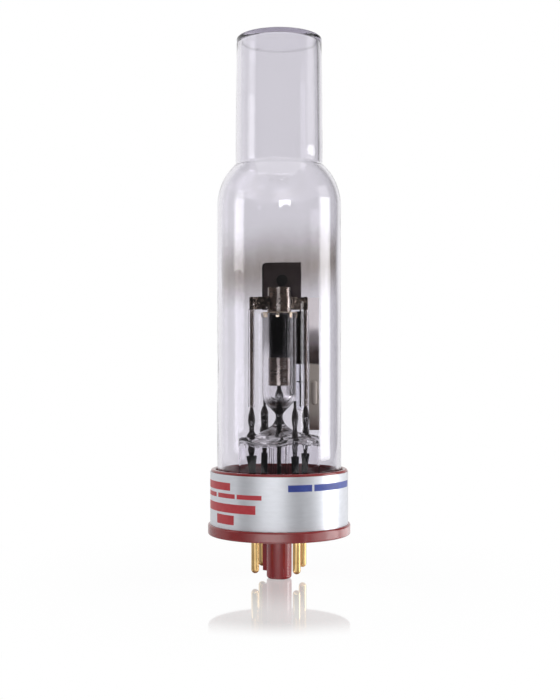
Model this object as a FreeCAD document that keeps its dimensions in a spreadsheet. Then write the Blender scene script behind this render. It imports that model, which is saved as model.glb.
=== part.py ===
import FreeCAD, Part
import math
import os
import re

import Sketcher

# A hollow cathode lamp: a glass bulb with an end window, its electrodes on a
# glass stem, and a moulded base with four contact pins round a locating key.
# Millimetres. The origin is the centre of the flange's underside, +Z points
# to the window and +Y to the back of the lamp.

Vector = FreeCAD.Vector
UP = Vector(0, 0, 1)
NEAR = 1e-4

# Driving sizes
SIZES = {
    # Base moulding: flange, cup, hollow key with its rib
    "flange_radius": 21.2,
    "flange_height": 3.1,
    "flange_round": 0.45,
    "floor_height": 2.4,
    "cup_wall": 1.35,
    "cup_height": 19.3,
    "rim_round": 0.4,
    "key_radius": 3.75,
    "key_length": 13.4,
    "key_round": 0.9,
    "key_wall": 1.2,
    "key_end": 1.4,
    "rib_reach": 1.25,
    "rib_width": 2.4,
    "rib_stop": 2.0,
    # Metal label band round the cup
    "band_thickness": 0.3,
    "band_height": 15.5,
    "band_seam_angle": 1.2,
    # Contact pins
    "pin_circle_radius": 8.725,
    "first_pin_angle": 36.0,
    "pin_radius": 1.18,
    "pin_shank_radius": 1.4,
    "pin_length": 11.1,
    "pin_shoulder_reach": 0.5,
    "pin_shoulder_height": 0.8,
    "pin_cup_radius": 1.3,
    "pin_cup_height": 3.2,
    "pin_bore_radius": 0.75,
    "pin_bore_depth": 2.8,
    # Cement between cup and bulb, with a lumpy top
    "cement_gap": 0.4,
    "cement_low": 10.0,
    "cement_top": 19.0,
    "lump_radius": 2.3,
    "lump_depth": 1.0,
    # Bulb and window
    "bulb_radius": 18.5,
    "bulb_wall": 1.3,
    "bulb_foot": 5.5,
    "shoulder_start": 97.5,
    "shoulder_radius": 16.6,
    "shoulder_fillet": 0.8,
    "neck_radius": 13.05,
    "neck_top_radius": 12.75,
    "neck_wall": 1.7,
    "lamp_height": 147.4,
    "window_thickness": 1.3,
    "window_round": 1.1,
    # Stem glass: flare, re-entrant tube, wafer and the foot of the column
    "stem_radius": 12.2,
    "stem_wall": 1.2,
    "flare_lift": 0.3,
    "wafer_top": 29.6,
    "wafer_thickness": 2.0,
    "wafer_round": 0.9,
    "waist_radius": 1.05,
    "foot_radius": 3.2,
    # Exhaust tube under the wafer
    "exhaust_offset": 4.6,
    "exhaust_radius": 3.2,
    "exhaust_wall": 0.9,
    "exhaust_hole_radius": 1.2,
    "exhaust_shoulder": 11.0,
    "exhaust_neck": 6.6,
    "exhaust_tip_radius": 0.7,
    # Glass tube round the cathode
    "waist_top": 35.2,
    "funnel_top": 38.9,
    "funnel_radius": 4.3,
    "shield_bend": 40.6,
    "shield_radius": 5.05,
    "shield_clearance": 0.05,
    "shield_floor": 38.9,
    "shield_floor_edge": 40.4,
    "shield_top": 65.5,
    # Cathode, its sleeve, its lead and the bead on the lead
    "cathode_lead_radius": 0.65,
    "cathode_lead_knee": 14.0,
    "lead_bead_low": 39.5,
    "lead_bead_height": 2.2,
    "lead_bead_radius": 1.35,
    "sleeve_low": 43.9,
    "sleeve_height": 8.4,
    "sleeve_radius": 3.25,
    "sleeve_wall": 0.3,
    "sleeve_floor": 0.8,
    "cathode_radius": 3.05,
    "cathode_height": 12.7,
    "cathode_bore_radius": 1.5,
    "cathode_bore_depth": 12.0,
    # Fingered ring that caps the glass tube
    "ring_thickness": 0.3,
    "ring_hole_radius": 2.6,
    "finger_length": 1.5,
    "finger_slot": 2.6,
    "first_finger_angle": 220.0,
    # Anode tube, the strap that holds it, and the plate behind it
    "anode_low": 65.8,
    "anode_height": 7.4,
    "anode_radius": 3.45,
    "anode_wall": 0.5,
    "strap_low": 66.8,
    "strap_height": 3.7,
    "strap_thickness": 0.35,
    "collar_low": 66.0,
    "collar_thickness": 0.25,
    "plate_width": 12.0,
    "plate_low": 66.8,
    "plate_top": 81.1,
    "plate_thickness": 0.4,
    "plate_gap": 0.4,
    "plate_bend": 0.5,
    "plate_corner": 1.4,
    "plate_shift": 0.6,
    "plate_turn": 9.0,
    "plate_hole_radius": 1.8,
    "plate_hole_shift": 0.15,
    "plate_hole_height": 75.7,
    # Leads through the wafer, their seal beads and black sleeves
    "lead_circle_radius": 9.24,
    "lead_angle": 29.4,
    "lead_radius": 0.4,
    "lead_knee": 23.0,
    "stub_height": 39.6,
    "spare_lead_end": 10.0,
    "bead_hole_radius": 1.0,
    "bead_low": 23.2,
    "bead_tail_top": 27.0,
    "bead_tail_bulge": 4.7,
    "bead_end_radius": 0.55,
    "bead_neck_radius": 0.75,
    "bead_neck_height": 31.0,
    "bead_top": 37.6,
    "bead_bulge": 11.0,
    "black_sleeve_radius": 0.85,
    "black_sleeve_gap": 0.4,
    "black_sleeve_lip": 1.05,
    "wide_sleeve_lip": 1.4,
    "lip_taper": 3.4,
    "lip_height": 0.4,
    # Support rods with glass sleeves
    "rod_radius": 0.5,
    "rod_over_strap": 0.3,
    "rod_loop_wall": 0.35,
    "glass_sleeve_radius": 1.0,
    "glass_sleeve_clearance": 0.05,
    "glass_sleeve_gap": 0.2,
    # Getter strip with its pellet
    "strip_clearance": 0.1,
    "strip_width": 3.2,
    "strip_low": 30.4,
    "strip_thickness": 0.3,
    "strip_tab_reach": 0.4,
    "pellet_radius": 0.9,
    "pellet_low": 37.9,
    "pellet_height": 7.6,
    # Small closed glass tube behind the plate, with its wire and core
    "guard_along": 5.5,
    "guard_back": 2.97,
    "guard_radius": 1.64,
    "guard_wall": 0.4,
    "guard_low": 36.0,
    "guard_top": 66.4,
    "guard_wire_radius": 0.3,
    "guard_wire_height": 68.0,
    "guard_collar_height": 44.8,
    "guard_collar_thickness": 0.45,
    "guard_core_radius": 1.1,
    "guard_core_low": 50.4,
    "guard_core_height": 15.4,
}

# Counts that the base and the parts' making fix
PIN_COUNT = 4
LUMP_COUNT = 24
FINGER_COUNT = 8
RIB_STEP = 112.5
FULL_TURN = 360.0
HALF_TURN = 180.0
RIGHT_ANGLE = 90.0
SUPPORTING_LEADS = (0, 2)
WIDE_LIPPED_LEAD = 2
SPARE_LEAD = 3

# Places and sizes that follow from the driving sizes
CUP_INNER = "(bulb_radius + cement_gap)"
CUP_OUTER = "(bulb_radius + cement_gap + cup_wall)"
KEY_BORE = "(key_radius - key_wall)"
PIN_CUP_BASE = "(floor_height + pin_shoulder_height)"
PIN_MOUTH = "(floor_height + pin_shoulder_height + pin_cup_height)"
BULB_INNER = "(bulb_radius - bulb_wall)"
SHOULDER_AXIS = "(bulb_radius - shoulder_radius)"
NECK_LOW = f"(shoulder_start + sqrt(shoulder_radius^2 - (neck_radius - {SHOULDER_AXIS})^2))"
NECK_LOW_INNER = (
    f"(shoulder_start + sqrt((shoulder_radius - bulb_wall)^2"
    f" - (neck_radius - neck_wall - {SHOULDER_AXIS})^2))"
)
NECK_TOP = "(lamp_height - window_thickness)"
STEM_INNER = "(stem_radius - stem_wall)"
WAFER_LOW = "(wafer_top - wafer_thickness)"
FLARE_RADIUS = f"({BULB_INNER} - stem_radius)"
FLARE_LOW = "(bulb_foot + flare_lift)"
FLARE_TOP = f"({FLARE_LOW} + stem_wall + {FLARE_RADIUS})"
COLUMN_SPLIT = "(wafer_top + foot_radius)"
SHIELD_INNER = "(sleeve_radius + shield_clearance)"
LEAD_TOP = "(sleeve_low + sleeve_floor)"
SLEEVE_TOP = "(sleeve_low + sleeve_height)"
CATHODE_TOP = f"({SLEEVE_TOP} + cathode_height)"
LOOP_RADIUS = "(rod_radius + rod_loop_wall)"
LEAD_X = "(lead_circle_radius * cos(lead_angle * 1 deg))"
LEAD_Y = "(lead_circle_radius * sin(lead_angle * 1 deg))"
STRAP_TOP = "(strap_low + strap_height)"
PLATE_DEPTH = "(2 * plate_thickness + plate_gap)"
STRIP_LEFT = f"({LEAD_X} + glass_sleeve_radius + strip_clearance)"
STRIP_FRONT = f"({LEAD_Y} + {LOOP_RADIUS})"

doc = FreeCAD.newDocument("hollow_cathode_lamp")
sheet = doc.addObject("Spreadsheet::Sheet", "Sizes")
for row, (alias, number) in enumerate(SIZES.items(), 1):
    sheet.set(f"A{row}", alias)
    sheet.set(f"B{row}", str(number))
    sheet.setAlias(f"B{row}", alias)
doc.recompute()

parts = []


def bound(text):
    """Return an expression in which each size is read from the sheet."""
    def from_sheet(word):
        return f"Sizes.{word.group()}" if word.group() in SIZES else word.group()
    return re.sub(r"[a-z][a-z_]*", from_sheet, text)


def value(text):
    """Return the number that an expression of sizes has now."""
    return float(sheet.evalExpression(bound(text)))


def keep(piece, name):
    """Name a finished piece and list it among the lamp's parts."""
    piece.Label = name
    parts.append(piece)
    return piece


def turn(degrees):
    """Return a placement turned about the lamp's axis."""
    return FreeCAD.Placement(Vector(), FreeCAD.Rotation(UP, degrees))


def stand_at(piece, radius, angle):
    """Move a piece to a place on a circle round the lamp's axis."""
    piece.setExpression("Placement.Base.x", bound(f"{radius} * cos({angle} * 1 deg)"))
    piece.setExpression("Placement.Base.y", bound(f"{radius} * sin({angle} * 1 deg)"))


# Sketches

def new_sketch(body, role, name):
    """Start a sketch on one of the body's own origin planes."""
    sketch = body.newObject("Sketcher::SketchObject", name)
    plane = next(item for item in body.Origin.OriginFeatures if item.Role == role)
    sketch.AttachmentSupport = [(plane, "")]
    sketch.MapMode = "FlatFace"
    return sketch


def arc_between(start, end, radius):
    """Return an arc; a positive radius bulges to the right of the way travelled."""
    chord = end - start
    middle = (start + end) * 0.5
    left = Vector(-chord.y, chord.x, 0).normalize()
    reach = math.sqrt(max(radius ** 2 - (chord.Length / 2) ** 2, 0.0))
    centre = middle + left * math.copysign(reach, radius)
    first, last = (start, end) if radius > 0 else (end, start)
    angles = [math.atan2(point.y - centre.y, point.x - centre.x) for point in (first, last)]
    if angles[1] <= angles[0]:
        angles[1] += 2 * math.pi
    return Part.ArcOfCircle(Part.Circle(centre, UP, abs(radius)), *angles)


def fix_point(sketch, edge, end, across, up):
    """Hold a point at a place given by two expressions of sizes."""
    for kind, axis, text in (("DistanceX", -2, across), ("DistanceY", -1, up)):
        if text == "0":
            sketch.addConstraint(Sketcher.Constraint("PointOnObject", edge, end, axis))
        else:
            number = sketch.addConstraint(Sketcher.Constraint(kind, -1, 1, edge, end, value(text)))
            sketch.setExpression(f"Constraints[{number}]", bound(text))


def draw(sketch, corners):
    """Draw a closed outline. A corner is (across, up), or (across, up, radius)
    where the edge that arrives there is an arc; "-" before the radius bends it
    the other way."""
    points = [Vector(value(corner[0]), value(corner[1]), 0) for corner in corners]
    ends = []
    for index, corner in enumerate(corners):
        start, end = points[index - 1], points[index]
        if len(corner) == 2:
            edge = sketch.addGeometry(Part.LineSegment(start, end))
            ends.append((edge, 1, 2))
            continue
        backwards = corner[2].startswith("-")
        radius_text = corner[2].lstrip("-")
        radius = value(radius_text)
        edge = sketch.addGeometry(arc_between(start, end, -radius if backwards else radius))
        ends.append((edge, 2, 1) if backwards else (edge, 1, 2))
        number = sketch.addConstraint(Sketcher.Constraint("Radius", edge, radius))
        sketch.setExpression(f"Constraints[{number}]", bound(radius_text))
    for index, (edge, _, last) in enumerate(ends):
        following, first, _ = ends[(index + 1) % len(ends)]
        sketch.addConstraint(Sketcher.Constraint("Coincident", edge, last, following, first))
        fix_point(sketch, edge, last, corners[index][0], corners[index][1])
    doc.recompute()


def draw_circle(sketch, across, up, radius):
    """Draw a circle whose centre and radius follow the sizes."""
    centre = Vector(value(across), value(up), 0)
    edge = sketch.addGeometry(Part.Circle(centre, UP, value(radius)))
    fix_point(sketch, edge, 3, across, up)
    number = sketch.addConstraint(Sketcher.Constraint("Radius", edge, value(radius)))
    sketch.setExpression(f"Constraints[{number}]", bound(radius))
    doc.recompute()


# Features

def turned(name, corners, angle=f"{FULL_TURN}"):
    """Turn an outline of (radius, height) corners about the body's Z axis."""
    body = doc.addObject("PartDesign::Body", name)
    sketch = new_sketch(body, "XZ_Plane", f"{name}_outline")
    draw(sketch, corners)
    revolution = body.newObject("PartDesign::Revolution", f"{name}_turned")
    revolution.Profile = sketch
    revolution.ReferenceAxis = (sketch, ["V_Axis"])
    revolution.setExpression("Angle", bound(angle))
    doc.recompute()
    return body


def padded(name, corners, thickness):
    """Pad an upright outline of (across, height) corners towards +Y."""
    body = doc.addObject("PartDesign::Body", name)
    sketch = new_sketch(body, "XZ_Plane", f"{name}_outline")
    draw(sketch, corners)
    pad = body.newObject("PartDesign::Pad", f"{name}_pad")
    pad.Profile = sketch
    pad.Reversed = True
    pad.setExpression("Length", bound(thickness))
    doc.recompute()
    return body


def pocket(body, sketch, depth, backwards):
    """Cut a sketch into the body and make sure that it removed something."""
    before = body.Shape.Volume
    cut = body.newObject("PartDesign::Pocket", f"{sketch.Name}_cut")
    cut.Profile = sketch
    cut.Reversed = backwards
    cut.setExpression("Length", bound(depth))
    doc.recompute()
    if body.Shape.Volume > before - NEAR:
        raise RuntimeError(f"{cut.Name} cuts nothing")
    return cut


def round_the_axis(body, feature, count):
    """Repeat a feature evenly round the body's Z axis."""
    pattern = body.newObject("PartDesign::PolarPattern", f"{feature.Name}_round")
    pattern.Originals = [feature]
    axis = next(item for item in body.Origin.OriginFeatures if item.Role == "Z_Axis")
    pattern.Axis = (axis, [""])
    pattern.Angle = FULL_TURN
    pattern.Occurrences = count
    body.Tip = pattern
    doc.recompute()


def round_rings(body, name, radius, rings):
    """Fillet the body's circular edges at the given (radius, height) places."""
    places = [(value(across), value(up)) for across, up in rings]
    base = body.Tip
    names = []
    for number, edge in enumerate(body.Shape.Edges, 1):
        curve = edge.Curve
        if not isinstance(curve, Part.Circle) or math.hypot(curve.Center.x, curve.Center.y) > NEAR:
            continue
        if any(abs(curve.Radius - across) < NEAR and abs(curve.Center.z - up) < NEAR
               for across, up in places):
            names.append(f"Edge{number}")
    fillet = body.newObject("PartDesign::Fillet", name)
    fillet.Base = (base, names)
    fillet.setExpression("Radius", bound(radius))
    body.Tip = fillet
    doc.recompute()


# Round bars, tubes and their joins

def cylinder(name, radius, low, high):
    """Make an upright round bar between two heights."""
    bar = doc.addObject("Part::Cylinder", name)
    bar.setExpression("Radius", bound(radius))
    bar.setExpression("Height", bound(f"{high} - {low}"))
    bar.setExpression("Placement.Base.z", bound(low))
    return bar


def bar_between(name, radius, start, end):
    """Make a round bar from one point to another."""
    bar = doc.addObject("Part::Cylinder", name)
    bar.setExpression("Radius", bound(radius))
    bar.Height = (end - start).Length
    bar.Placement = FreeCAD.Placement(start, FreeCAD.Rotation(UP, end - start))
    return bar


def ball(name, radius, centre):
    """Make the ball that rounds the bend between two bars."""
    sphere = doc.addObject("Part::Sphere", name)
    sphere.setExpression("Radius", bound(radius))
    sphere.Placement.Base = centre
    return sphere


def difference(name, base, tool):
    """Cut one shape from another."""
    cut = doc.addObject("Part::Cut", name)
    cut.Base = base
    cut.Tool = tool
    return cut


def union(name, shapes):
    """Join shapes into one."""
    joined = doc.addObject("Part::MultiFuse", name)
    joined.Shapes = shapes
    return joined


def tube(name, outer, inner, low, high):
    """Make an upright tube between two heights."""
    return difference(name, cylinder(f"{name}_outside", outer, low, high),
                      cylinder(f"{name}_inside", inner, low, high))


def bent_wire(name, radius, points):
    """Make a wire along straight runs with a ball at each bend."""
    runs = [bar_between(f"{name}_run_{index}", radius, start, end)
            for index, (start, end) in enumerate(zip(points, points[1:]))]
    bends = [ball(f"{name}_bend_{index}", radius, point)
             for index, point in enumerate(points[1:-1])]
    return union(name, runs + bends)


# Base

def base_shell():
    """One moulding: flange, cup with its floor, and the hollow key with a rib."""
    body = turned("base_shell", [
        ("0", "-key_length"),
        ("key_radius", "-key_length"),
        ("key_radius", "0"),
        ("flange_radius", "0"),
        ("flange_radius", "flange_height"),
        (CUP_OUTER, "flange_height"),
        (CUP_OUTER, "cup_height"),
        (CUP_INNER, "cup_height"),
        (CUP_INNER, "floor_height"),
        (KEY_BORE, "floor_height"),
        (KEY_BORE, "key_end - key_length"),
        ("0", "key_end - key_length"),
    ])
    rib = new_sketch(body, "XY_Plane", "key_rib")
    rib.AttachmentOffset = turn(value("first_pin_angle") + RIB_STEP)
    draw(rib, [
        ("key_radius - key_wall / 2", "-rib_width / 2"),
        ("key_radius + rib_reach", "-rib_width / 2"),
        ("key_radius + rib_reach", "rib_width / 2"),
        ("key_radius - key_wall / 2", "rib_width / 2"),
    ])
    pad = body.newObject("PartDesign::Pad", "key_rib_pad")
    pad.Profile = rib
    pad.Reversed = True
    pad.setExpression("Length", bound("key_length - rib_stop"))
    doc.recompute()
    hole = new_sketch(body, "XY_Plane", "pin_hole")
    hole.AttachmentOffset = turn(value("first_pin_angle"))
    draw_circle(hole, "pin_circle_radius", "0", "pin_shank_radius")
    cut = pocket(body, hole, "floor_height", True)
    round_the_axis(body, cut, PIN_COUNT)
    round_rings(body, "flange_edges", "flange_round",
                [("flange_radius", "0"), ("flange_radius", "flange_height")])
    round_rings(body, "rim_edges", "rim_round",
                [(CUP_OUTER, "cup_height"), (CUP_INNER, "cup_height")])
    round_rings(body, "key_edge", "key_round", [("key_radius", "-key_length")])
    keep(body, "base_shell")


def label_band():
    """The metal band wrapped round the cup, with its seam at the back."""
    body = turned("label_band", [
        (CUP_OUTER, "flange_height"),
        (f"{CUP_OUTER} + band_thickness", "flange_height"),
        (f"{CUP_OUTER} + band_thickness", "flange_height + band_height"),
        (CUP_OUTER, "flange_height + band_height"),
    ], f"{FULL_TURN} - band_seam_angle")
    body.Placement = turn(RIGHT_ANGLE)
    keep(body, "label_band")


def contact_pins():
    """Turned pins with a thicker shank in the floor and a cup for a wire."""
    for index in range(PIN_COUNT):
        name = f"contact_pin_{index + 1}"
        body = turned(name, [
            ("0", "-pin_length"),
            ("pin_radius", "pin_radius - pin_length", "pin_radius"),
            ("pin_radius", "0"),
            ("pin_shank_radius", "0"),
            ("pin_shank_radius", "floor_height"),
            ("pin_shank_radius + pin_shoulder_reach", "floor_height"),
            ("pin_shank_radius + pin_shoulder_reach", PIN_CUP_BASE),
            ("pin_cup_radius", PIN_CUP_BASE),
            ("pin_cup_radius", PIN_MOUTH),
            ("pin_bore_radius", PIN_MOUTH),
            ("pin_bore_radius", f"{PIN_MOUTH} - pin_bore_depth"),
            ("0", f"{PIN_MOUTH} - pin_bore_depth"),
        ])
        stand_at(body, "pin_circle_radius", f"(first_pin_angle + {index * RIGHT_ANGLE})")
        keep(body, name)


def basing_cement():
    """The cement ring that holds the bulb, with hollows cut in its top."""
    body = turned("basing_cement", [
        ("bulb_radius", "cement_low"),
        (CUP_INNER, "cement_low"),
        (CUP_INNER, "cement_top"),
        ("bulb_radius", "cement_top"),
    ])
    hollow = new_sketch(body, "XZ_Plane", "cement_hollow")
    draw_circle(hollow, "0", "cement_top - lump_depth + lump_radius", "lump_radius")
    cut = pocket(body, hollow, f"{CUP_INNER} + cement_gap", False)
    round_the_axis(body, cut, LUMP_COUNT)
    keep(body, "basing_cement")


# Glass

def glass_envelope():
    """The blown bulb: wide body, domed shoulder and narrow neck."""
    body = turned("glass_envelope", [
        ("bulb_radius", "bulb_foot"),
        ("bulb_radius", "shoulder_start"),
        ("neck_radius", NECK_LOW, "shoulder_radius"),
        ("neck_top_radius", NECK_TOP),
        ("neck_top_radius - neck_wall", NECK_TOP),
        ("neck_radius - neck_wall", NECK_LOW_INNER),
        (BULB_INNER, "shoulder_start", "-(shoulder_radius - bulb_wall)"),
        (BULB_INNER, "bulb_foot"),
    ])
    round_rings(body, "shoulder_corner", "shoulder_fillet", [("neck_radius", NECK_LOW)])
    keep(body, "glass_envelope")


def window_disc():
    """The flat window fused on the end of the neck, with a rounded rim."""
    keep(turned("window_disc", [
        ("0", NECK_TOP),
        ("neck_top_radius", NECK_TOP),
        ("neck_top_radius", "lamp_height - window_round"),
        ("neck_top_radius - window_round", "lamp_height", "window_round"),
        ("0", "lamp_height"),
    ]), "window_disc")


def stem_glass():
    """Flare, re-entrant tube and wafer in one, with the foot of the column."""
    body = turned("stem_glass", [
        (BULB_INNER, FLARE_LOW, f"({FLARE_RADIUS} + stem_wall)"),
        (BULB_INNER, f"{FLARE_LOW} + stem_wall"),
        ("stem_radius", FLARE_TOP, f"-{FLARE_RADIUS}"),
        ("stem_radius", "wafer_top - wafer_round"),
        ("stem_radius - wafer_round", "wafer_top", "wafer_round"),
        ("waist_radius + foot_radius", "wafer_top"),
        ("waist_radius", COLUMN_SPLIT, "-foot_radius"),
        ("cathode_lead_radius", COLUMN_SPLIT),
        ("cathode_lead_radius", WAFER_LOW),
        (STEM_INNER, WAFER_LOW),
        (STEM_INNER, FLARE_TOP),
    ])
    hole = new_sketch(body, "XY_Plane", "bead_hole")
    hole.AttachmentOffset = turn(value("lead_angle"))
    draw_circle(hole, "lead_circle_radius", "0", "bead_hole_radius")
    cut = pocket(body, hole, "wafer_top + wafer_thickness", True)
    round_the_axis(body, cut, PIN_COUNT)
    vent = new_sketch(body, "XY_Plane", "exhaust_hole")
    draw_circle(vent, "0", "exhaust_offset", "exhaust_hole_radius")
    pocket(body, vent, "wafer_top + wafer_thickness", True)
    keep(body, "stem_glass")


def exhaust_tube():
    """The pumping tube under the wafer, drawn down and sealed inside the base."""
    tip_end = "(exhaust_neck - exhaust_tip_radius)"
    body = turned("exhaust_tube", [
        ("0", tip_end),
        ("exhaust_tip_radius", "exhaust_neck", "exhaust_tip_radius"),
        ("exhaust_radius", "exhaust_shoulder"),
        ("exhaust_radius", WAFER_LOW),
        ("exhaust_radius - exhaust_wall", WAFER_LOW),
        ("exhaust_radius - exhaust_wall", "exhaust_shoulder + exhaust_wall"),
        ("0", "exhaust_neck + 2 * exhaust_wall"),
    ])
    body.setExpression("Placement.Base.y", bound("exhaust_offset"))
    keep(body, "exhaust_tube")


def cathode_shield_tube():
    """The glass tube round the cathode, closed to a funnel and a thin waist."""
    funnel_rise = "(funnel_top - waist_top)"
    funnel_spread = "(funnel_radius - waist_radius)"
    funnel_curve = f"(({funnel_rise}^2 + {funnel_spread}^2) / (2 * {funnel_spread}))"
    keep(turned("cathode_shield_tube", [
        ("waist_radius", COLUMN_SPLIT),
        ("waist_radius", "waist_top"),
        ("funnel_radius", "funnel_top", f"-{funnel_curve}"),
        ("shield_radius", "shield_bend"),
        ("shield_radius", "shield_top"),
        (SHIELD_INNER, "shield_top"),
        (SHIELD_INNER, "shield_floor_edge"),
        ("cathode_lead_radius", "shield_floor"),
        ("cathode_lead_radius", COLUMN_SPLIT),
    ]), "cathode_shield_tube")


# Cathode

def cathode_sleeve():
    """The metal sleeve that carries the cathode on its lead."""
    keep(turned("cathode_sleeve", [
        ("cathode_lead_radius", "sleeve_low"),
        ("sleeve_radius", "sleeve_low"),
        ("sleeve_radius", SLEEVE_TOP),
        ("sleeve_radius - sleeve_wall", SLEEVE_TOP),
        ("sleeve_radius - sleeve_wall", LEAD_TOP),
        ("cathode_lead_radius", LEAD_TOP),
    ]), "cathode_sleeve")


def cathode_cup():
    """The hollow cathode: a turned bar, bored from its open end."""
    keep(turned("cathode_cup", [
        ("0", LEAD_TOP),
        ("sleeve_radius - sleeve_wall", LEAD_TOP),
        ("sleeve_radius - sleeve_wall", SLEEVE_TOP),
        ("cathode_radius", SLEEVE_TOP),
        ("cathode_radius", CATHODE_TOP),
        ("cathode_bore_radius", CATHODE_TOP),
        ("cathode_bore_radius", f"{CATHODE_TOP} - cathode_bore_depth"),
        ("0", f"{CATHODE_TOP} - cathode_bore_depth"),
    ]), "cathode_cup")


def finger_ring():
    """The ring under the anode, with fingers bent down round the glass tube."""
    body = turned("finger_ring", [
        ("ring_hole_radius", "shield_top"),
        ("shield_radius", "shield_top"),
        ("shield_radius", "shield_top - finger_length"),
        ("shield_radius + ring_thickness", "shield_top - finger_length"),
        ("shield_radius + ring_thickness", "shield_top + ring_thickness"),
        ("ring_hole_radius", "shield_top + ring_thickness"),
    ])
    slot = new_sketch(body, "XZ_Plane", "finger_slot")
    draw(slot, [
        ("-finger_slot / 2", "shield_top - 2 * finger_length"),
        ("finger_slot / 2", "shield_top - 2 * finger_length"),
        ("finger_slot / 2", "shield_top"),
        ("-finger_slot / 2", "shield_top"),
    ])
    cut = pocket(body, slot, "shield_radius + 2 * ring_thickness", False)
    round_the_axis(body, cut, FINGER_COUNT)
    body.Placement = turn(value("first_finger_angle") + HALF_TURN / FINGER_COUNT + RIGHT_ANGLE)
    keep(body, "finger_ring")


def cathode_lead():
    """The centre wire, from the cathode down to a contact pin, and its bead."""
    mouth = value(PIN_MOUTH)
    pin = pin_place(SPARE_LEAD)
    points = [
        Vector(0, 0, value(LEAD_TOP)),
        Vector(0, 0, value("cathode_lead_knee")),
        Vector(pin.x, pin.y, mouth + value("cathode_lead_radius")),
        Vector(pin.x, pin.y, mouth - value("pin_bore_depth") / 2),
    ]
    keep(bent_wire("cathode_lead", "cathode_lead_radius", points), "cathode_lead")
    swell = "(lead_bead_radius - cathode_lead_radius)"
    half = "(lead_bead_height / 2)"
    keep(turned("cathode_lead_bead", [
        ("cathode_lead_radius", "lead_bead_low"),
        ("cathode_lead_radius", "lead_bead_low + lead_bead_height",
         f"(({half}^2 + {swell}^2) / (2 * {swell}))"),
    ]), "cathode_lead_bead")


# Anode

def anode_tube():
    """The open tube over the cathode's mouth."""
    keep(tube("anode_tube", "anode_radius", "anode_radius - anode_wall",
              "anode_low", "(anode_low + anode_height)"), "anode_tube")


def support_strap():
    """The strap folded round both support rods, with a collar for the anode."""
    half = value("lead_circle_radius")
    arm = doc.addObject("Part::Box", "strap_arm")
    arm.setExpression("Length", bound("2 * lead_circle_radius"))
    arm.setExpression("Width", bound("strap_thickness"))
    arm.setExpression("Height", bound("strap_height"))
    arm.Placement.Base = Vector(-half, -value("strap_thickness") / 2, value("strap_low"))
    outside = [arm, cylinder("strap_collar", "anode_radius + collar_thickness", "collar_low", STRAP_TOP)]
    inside = [cylinder("strap_collar_hole", "anode_radius", "collar_low", STRAP_TOP)]
    for side, sign in (("right", ""), ("left", "-")):
        loop = cylinder(f"strap_loop_{side}", LOOP_RADIUS, "strap_low", STRAP_TOP)
        hole = cylinder(f"strap_loop_hole_{side}", "rod_radius", "strap_low", STRAP_TOP)
        for round_piece in (loop, hole):
            round_piece.setExpression("Placement.Base.x", bound(f"{sign}lead_circle_radius"))
        outside.append(loop)
        inside.append(hole)
    strap = difference("support_strap", union("strap_outside", outside), union("strap_inside", inside))
    strap.Placement = turn(value("lead_angle"))
    keep(strap, "support_strap")


def plate_placement():
    """Turn the plate and set it back until its edge meets the strap."""
    slant = math.radians(value("lead_angle"))
    tilt = math.radians(value("plate_turn"))
    half = value("plate_width") / 2
    corner_x = value("plate_shift") + half * math.cos(tilt)
    back = corner_x * math.tan(slant) + value("strap_thickness") / 2 / math.cos(slant)
    place = Vector(value("plate_shift"), back + half * math.sin(tilt), 0)
    return FreeCAD.Placement(place, FreeCAD.Rotation(UP, -value("plate_turn")))


def anode_plate():
    """The upright plate: a sheet folded back on itself, with a hole in its front leaf."""
    half = "(plate_width / 2)"
    back = "(plate_thickness + plate_gap)"
    body = doc.addObject("PartDesign::Body", "anode_plate")
    plan = new_sketch(body, "XY_Plane", "plate_plan")
    plan.setExpression("AttachmentOffset.Base.z", bound("plate_low"))
    draw(plan, [
        (half, "0"),
        (half, "plate_thickness"),
        (f"plate_thickness - {half}", "plate_thickness"),
        (f"plate_thickness - {half}", back),
        (half, back),
        (half, PLATE_DEPTH),
        (f"plate_bend - {half}", PLATE_DEPTH),
        (f"-{half}", f"{PLATE_DEPTH} - plate_bend", "plate_bend"),
        (f"-{half}", "plate_bend"),
        (f"plate_bend - {half}", "0", "plate_bend"),
    ])
    pad = body.newObject("PartDesign::Pad", "plate_pad")
    pad.Profile = plan
    pad.setExpression("Length", bound("plate_top - plate_low"))
    doc.recompute()
    corner = new_sketch(body, "XZ_Plane", "plate_corner_cut")
    draw(corner, [
        (f"-{half}", "plate_top"),
        (f"-{half}", "plate_top - plate_corner"),
        (f"plate_corner - {half}", "plate_top", "-plate_corner"),
    ])
    pocket(body, corner, PLATE_DEPTH, False)
    hole = new_sketch(body, "XZ_Plane", "plate_hole")
    draw_circle(hole, "plate_hole_shift", "plate_hole_height", "plate_hole_radius")
    pocket(body, hole, "plate_thickness", False)
    body.Placement = plate_placement()
    keep(body, "anode_plate")


# Leads through the wafer

def lead_place(index):
    """Return where a lead passes the wafer."""
    angle = math.radians(value("lead_angle") + index * RIGHT_ANGLE)
    radius = value("lead_circle_radius")
    return Vector(radius * math.cos(angle), radius * math.sin(angle), 0)


def pin_place(index):
    """Return where a contact pin stands."""
    angle = math.radians(value("first_pin_angle") + index * RIGHT_ANGLE)
    radius = value("pin_circle_radius")
    return Vector(radius * math.cos(angle), radius * math.sin(angle), 0)


def slanted_run(index):
    """Return the lead's knee and its end in the pin's bore."""
    knee = lead_place(index) + UP * value("lead_knee")
    end = pin_place(index) + UP * value(f"{PIN_MOUTH} - pin_bore_depth + lead_radius")
    return knee, end


def down_to(knee, end, height):
    """Return the point at a given height on the line from knee to end."""
    return knee + (end - knee) * ((knee.z - height) / (knee.z - end.z))


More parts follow.
